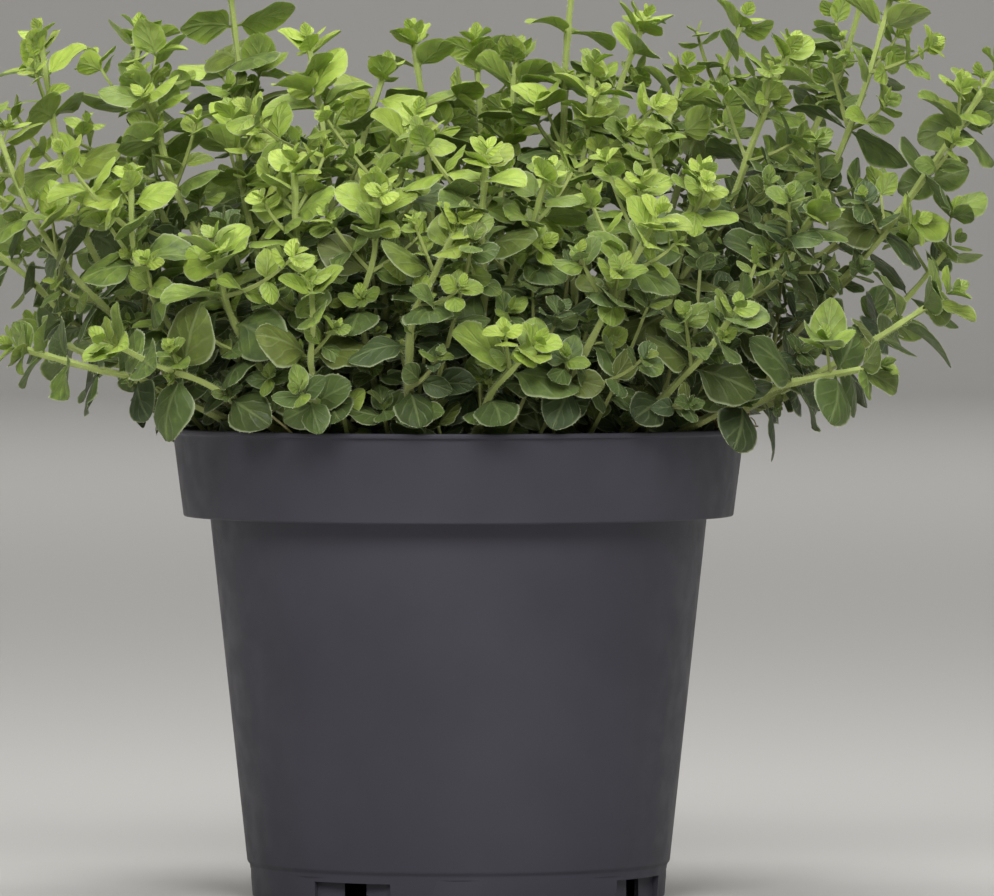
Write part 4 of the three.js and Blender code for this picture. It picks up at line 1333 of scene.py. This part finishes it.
        def plans():
            for attempt in range(5):
                shrink = 1 - 0.1 * attempt
                foot = leaf["foot"] + growth_way * 0.8 * MM
                slope = random.uniform(0.45, 1.0)
                direction = unit(outward * math.cos(slope) + growth_way * math.sin(slope))
                direction = unit(direction + leaf["right"] * random.uniform(-0.4, 0.4))
                bend = bend_up(direction, random, 0.2, 0.5)
                if longer and attempt < 3:
                    length = random.uniform(8, 24) * (1.15 - 0.6 * at)
                    pairs, size = 2, random.uniform(7, 11)
                else:
                    length, pairs, size = random.uniform(1.6, 3.6), 1, random.uniform(4.5, 7.5)
                yield plan_shoot(
                    foot, direction, bend, length * shrink * MM, pairs, size * shrink * MM,
                    within(tone + 0.12), random,
                )

        plant.place(growth, plans(), random)

    def twigs(self, plant, growth, plan, random):
        """Longer side shoots that reach into the gaps inside the bush."""
        for ring in sorted({leaf["ring"] for leaf in plan.leaves}):
            at = plan.distances[ring] / plan.distances[-1]
            if at < 0.2 or at > 0.93:
                continue
            foot = (plan.middles[ring] + plan.middles[ring + 1]) / 2
            forward = unit(plan.middles[ring + 1] - plan.middles[ring])
            tone = within(self.tone(at, foot, plan.liveliness) + 0.05)

            def plans():
                for _ in range(6):
                    slope = random.uniform(0.15, 0.9)
                    outward = square_to(random.standard_normal(3), forward)
                    direction = outward * math.cos(slope) + forward * math.sin(slope)
                    bend = bend_up(direction, random, 0.2, 0.5)
                    length = random.uniform(10, 27) * MM
                    pairs = 2 + int(length > 18 * MM)
                    size = random.uniform(8, 12) * MM
                    if plant.room.in_bush(foot + (direction + bend / 2) * length):
                        yield plan_shoot(foot, direction, bend, length, pairs, size, tone, random)

            plant.place(growth, plans(), random, 0.06)

    def fill_place(self, plant, growths, plans, x, z, random):
        """A shoot from the nearest stem to a thin place, as that place is seen from in front."""
        found = []
        for number, plan in enumerate(plans):
            away = np.hypot(plan.middles[:-1, 0] - x, plan.middles[:-1, 2] - z + 8 * MM)
            ring = int(np.argmin(away))
            found.append((away[ring], number, ring))
        for _, number, ring in sorted(found)[:3]:
            plan = plans[number]
            foot = plan.middles[ring]
            goal = np.array([x, foot[1], z])
            reach = float(np.linalg.norm(goal - foot))
            tone = within(self.tone(0.9, goal, plan.liveliness))

            def shoots():
                for _ in range(8):
                    aim = goal + random.standard_normal(3) * 4 * MM
                    direction = unit(aim - foot)
                    bend = bend_up(direction, random, 0.0, 0.3)
                    length = max(5 * MM, reach * random.uniform(0.7, 1.05))
                    size = random.uniform(9, 12) * MM
                    pairs = 1 + int(length > 11 * MM) + int(length > 20 * MM)
                    yield plan_shoot(foot, direction, bend, length, pairs, size, tone, random)

            if plant.place(growths[number], shoots(), random, 0.12, True):
                return

    @staticmethod
    def low_shoots(plant, settings):
        """Short shoots between the stems, mostly dark, which hide the soil, in six sectors."""
        random = np.random.default_rng(settings.seed + 500)
        sectors = [Growth() for _ in range(6)]
        for x, y, length, size, tone in BRIGHT_SHOOTS:
            foot = np.array([x * MM, y * MM, SOIL_HIGH.z - 2 * MM])
            direction = unit(np.array([x / 120, y / 120, 1.0]))
            shoot = plan_shoot(foot, direction, direction * 0, length * MM, 2, size * MM, tone, random)
            plant.thread(sectors[0], [shoot], random, 0.5)
        for number in range(settings.low_shoots):
            at_rim = number % 3 == 0
            distance = (random.uniform(47, 57) if at_rim else 57 * math.sqrt(random.random())) * MM
            azimuth = random.uniform(-math.pi, math.pi)
            outward = np.array([math.cos(azimuth), math.sin(azimuth), 0])
            foot = outward * distance + [0, 0, SOIL_HIGH.z - 2 * MM]

            def plans():
                for attempt in range(4):
                    lean = outward * distance / (56 * MM) * random.uniform(0.2, 1.3)
                    direction = unit(lean + [0, 0, 1] + 0.25 * random.standard_normal(3))
                    bend = bend_up(direction, random, 0.1, 0.5)
                    length = random.uniform(14, 26 if at_rim else 62) * (1 - 0.1 * attempt)
                    size = random.uniform(9, 12.5) * MM
                    tone = random.uniform(0.06, 0.28)
                    pairs = 2 + int(length / 11)
                    yield plan_shoot(foot, direction, bend, length * MM, pairs, size, tone, random)

            sector = int((azimuth + math.pi) / (2 * math.pi) * 6) % 6
            plant.thread(sectors[sector], plans(), random)
        return sectors


# ---- Dry bits ----


def thread_line(start, direction, length, wander, random, points=9):
    """A line that wanders from its direction."""
    line = [np.array(start, float)]
    for _ in range(points - 1):
        direction = unit(direction + wander * random.standard_normal(3))
        line.append(line[-1] + direction * length / (points - 1))
    return np.array(line)


class OREGANO_OT_litter(bpy.types.Operator):
    """Build the dry bits: a few pale stalks, curled dead leaves and threads of root at the rim"""

    bl_idname = "oregano.litter"
    bl_label = "Dry bits"
    settings_key = ""

    def execute(self, context):
        random = np.random.default_rng(8)
        growth = Growth()
        top = SOIL_HIGH.z
        stalks = [((-50 * MM, -34 * MM, top + 2 * MM), (1.0, -0.55, 0.95), 18, 0.85, 0.9)]
        stalks.append(((-33 * MM, -46 * MM, top + 1 * MM), (-0.8, -0.2, 0.9), 12, 0.4, 0.7))
        for _ in range(14):
            azimuth, distance = random.uniform(-math.pi, math.pi), random.uniform(20, 55) * MM
            start = (distance * math.cos(azimuth), distance * math.sin(azimuth), top + 0.8 * MM)
            way = (*random.uniform(-1, 1, 2), random.uniform(-0.05, 0.5))
            stalks.append((start, way, random.uniform(9, 20), random.uniform(0.3, 0.6), random.random()))
        for start, way, length, radius, tone in stalks:
            line = thread_line(start, unit(np.array(way)), length * MM, 0.08, random)
            self.strand(growth, line, radius, tone)
        for _ in range(26):
            start = np.array([60, -7, 105.6]) * MM + random.uniform(-1, 1, 3) * np.array([4, 5, 0.5]) * MM
            way = unit(random.standard_normal(3) * [1, 1, 0.5] + [0, 0, 0.45])
            line = thread_line(start, way, random.uniform(4, 9) * MM, 0.5, random)
            line[:, 2] = np.maximum(line[:, 2], 105.4 * MM)
            self.strand(growth, line, random.uniform(0.1, 0.26), random.random())
        blade = Blade(SMALL_LEAF_OUTLINE, 2)
        places = [
            (51.5, -30, 105.5), (57.5, -13, 106.5), (62.5, -4, 106.5), (-56, -20, 101), (-20, -56, 100.5),
        ]
        for _ in range(14):
            azimuth, distance = random.uniform(-math.pi, math.pi), random.uniform(30, 57)
            places.append((distance * math.cos(azimuth), distance * math.sin(azimuth), top / MM + 1.5))
        for place in places:
            outward = unit(random.standard_normal(3) * [1, 1, 0.2])
            upward = square_to(np.array([0, 0, 1.0]) + 0.5 * random.standard_normal(3), outward)
            size = random.uniform(6, 10) * MM
            leaf = arc_leaf(
                np.array(place) * MM, outward, upward, size, size * random.uniform(0.4, 0.65),
                60, random.uniform(90, 170), random.uniform(-0.5, 0.5), True,
            )
            lay_leaf(growth, blade, leaf, random.random(), random, 0.3 * MM)
        piece = growth.build("dry_bits", [dry_finish()])
        finish_piece(piece, None, 55)
        return {"FINISHED"}

    @staticmethod
    def strand(growth, line, radius, tone):
        """A dry strand along a line, with its radius in millimetres."""
        arms = np.tile([0.31, 0.22, 0.92], (len(line), 1))
        radii = np.linspace(radius, radius * 0.7, len(line)) * MM
        tube(growth, line, radii, arms, np.full(len(line), tone), 5, kind=LEAF)


# ---- Studio ----


# Metres. The bowl is so wide that a camera on any side of the plant stands inside it.
FLOOR_RADIUS = 5.6
BEND = 1.2
WALL_HEIGHT = 3
# The way to each backdrop light from the middle, and its share of their power.
WALL_LIGHTS = (("back", 0, 1, 1.0), ("right", 1, 0, 1.0), ("front", 0, -1, 0.4), ("left", -1, 0, 1.0))

CAMERA_PLACE = (0.0, -2.353, 0.1595)
CAMERA_DIRECTION = (0.003667, 1.0, -0.025143)
CAMERA_LENS = 380.3
SENSOR_WIDTH = 36.0


class OREGANO_OT_stage(bpy.types.Operator):
    """Build the plain studio: floor, soft lights, surroundings and camera"""

    bl_idname = "oregano.stage"
    bl_label = "Studio"
    settings_key = "oregano_stage"

    def execute(self, context):
        settings = context.scene.oregano_stage
        self.floor(settings)
        self.lamp("left_light", (-0.45, -1.5, 1.15), (0, 0, 0.12), 0.7, settings.front)
        self.lamp("right_light", (0.45, -1.5, 1.15), (0, 0, 0.12), 0.7, settings.front)
        self.lamp("top_light", (0.0, 0.1, 1.6), (0, 0, 0.1), 1.0, settings.top)
        for name, x, y, share in WALL_LIGHTS:
            place, target = (2.8 * x, 2.8 * y, 3.2), (5.5 * x, 5.5 * y, 0.3)
            self.lamp(name + "_wall_light", place, target, 1.6, settings.wall * share)
        self.surroundings(context.scene, settings)
        self.camera(context.scene)
        context.scene.view_settings.view_transform = "Standard"
        return {"FINISHED"}

    @staticmethod
    def floor(settings):
        """A round floor whose edge is drawn up into a backdrop, with a soft bend between them."""
        deselect_all()
        bpy.ops.mesh.primitive_circle_add(
            vertices=96, radius=FLOOR_RADIUS, fill_type="NGON", enter_editmode=True
        )
        turns = [math.pi / 2 * i / 16 for i in range(1, 17)]
        bend = [(FLOOR_RADIUS + BEND * math.sin(turn), BEND * (1 - math.cos(turn))) for turn in turns]
        draw_rings(FLOOR_RADIUS, 0.0, bend)
        bpy.ops.mesh.extrude_edges_move(TRANSFORM_OT_translate={"value": (0, 0, WALL_HEIGHT)})
        bpy.ops.mesh.select_all(action="SELECT")
        bpy.ops.mesh.normals_make_consistent(inside=True)
        bpy.ops.object.mode_set(mode="OBJECT")
        floor = bpy.context.object
        floor.name = "studio_floor"
        choose(floor)
        bpy.ops.object.shade_smooth()
        finish = Finish("studio_floor", 0.85, 0.2)
        finish.shader.inputs["Base Color"].default_value = tuple(settings.floor)
        floor.data.materials.append(finish.material)
        floor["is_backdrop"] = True

    @staticmethod
    def lamp(name, place, target, size, power):
        """A soft square light that faces a point."""
        deselect_all()
        bpy.ops.object.light_add(type="AREA", location=place)
        lamp = bpy.context.object
        lamp.name = name
        lamp.data.size = size
        lamp.data.energy = power
        lamp.rotation_euler = (Vector(target) - Vector(place)).to_track_quat("-Z", "Y").to_euler()

    @staticmethod
    def surroundings(scene, settings):
        """Even, nearly white light from all round."""
        scene.world = bpy.data.worlds.new("studio_world")
        scene.world.use_nodes = True
        background = scene.world.node_tree.nodes["Background"]
        background.inputs["Color"].default_value = (0.95, 0.98, 1.0, 1.0)
        background.inputs["Strength"].default_value = settings.world

    @staticmethod
    def camera(scene):
        """A long lens, a little above the pot's middle."""
        deselect_all()
        turn = Vector(CAMERA_DIRECTION).to_track_quat("-Z", "Y").to_euler()
        bpy.ops.object.camera_add(location=CAMERA_PLACE, rotation=turn)
        camera = bpy.context.object
        camera.name = "studio_camera"
        camera.data.lens = CAMERA_LENS
        camera.data.sensor_width = SENSOR_WIDTH
        camera.data.clip_end = 50
        scene.camera = camera


# ---- Add-on ----


SETTINGS = {
    "oregano_pot": OreganoPotSettings,
    "oregano_soil": OreganoSoilSettings,
    "oregano_plant": OreganoPlantSettings,
    "oregano_stage": OreganoStageSettings,
}
OPERATORS = (
    OREGANO_OT_pot, OREGANO_OT_soil, OREGANO_OT_leafy_stems, OREGANO_OT_litter, OREGANO_OT_stage,
)


class OREGANO_PT_panel(bpy.types.Panel):
    """The steps that build the potted oregano, and their settings."""

    bl_idname = "OREGANO_PT_panel"
    bl_label = "Potted oregano"
    bl_space_type = "VIEW_3D"
    bl_region_type = "UI"
    bl_category = "Oregano"

    def draw(self, context):
        for operator in OPERATORS:
            box = self.layout.box()
            box.operator(operator.bl_idname)
            group = SETTINGS.get(operator.settings_key)
            for name in group.__annotations__ if group else ():
                box.prop(getattr(context.scene, operator.settings_key), name)


def register():
    """Makes the settings, the operators and the panel known to Blender."""
    for group in SETTINGS.values():
        bpy.utils.register_class(group)
    for key, group in SETTINGS.items():
        setattr(bpy.types.Scene, key, bpy.props.PointerProperty(type=group))
    for operator in OPERATORS:
        bpy.utils.register_class(operator)
    bpy.utils.register_class(OREGANO_PT_panel)


def unregister():
    """Takes back what register did."""
    bpy.utils.unregister_class(OREGANO_PT_panel)
    for operator in reversed(OPERATORS):
        bpy.utils.unregister_class(operator)
    for key, group in SETTINGS.items():
        delattr(bpy.types.Scene, key)
        bpy.utils.unregister_class(group)


def main():
    """Builds all pieces and the studio."""
    register()
    bpy.ops.oregano.pot()
    bpy.ops.oregano.soil()
    bpy.ops.oregano.leafy_stems()
    bpy.ops.oregano.litter()
    bpy.ops.oregano.stage()
    boxes = {"cad": CAD_BOX, "visual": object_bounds()}
    {key: [list(corner) for corner in box] for key, box in boxes.items()}


if __name__ == "__main__":
    main()
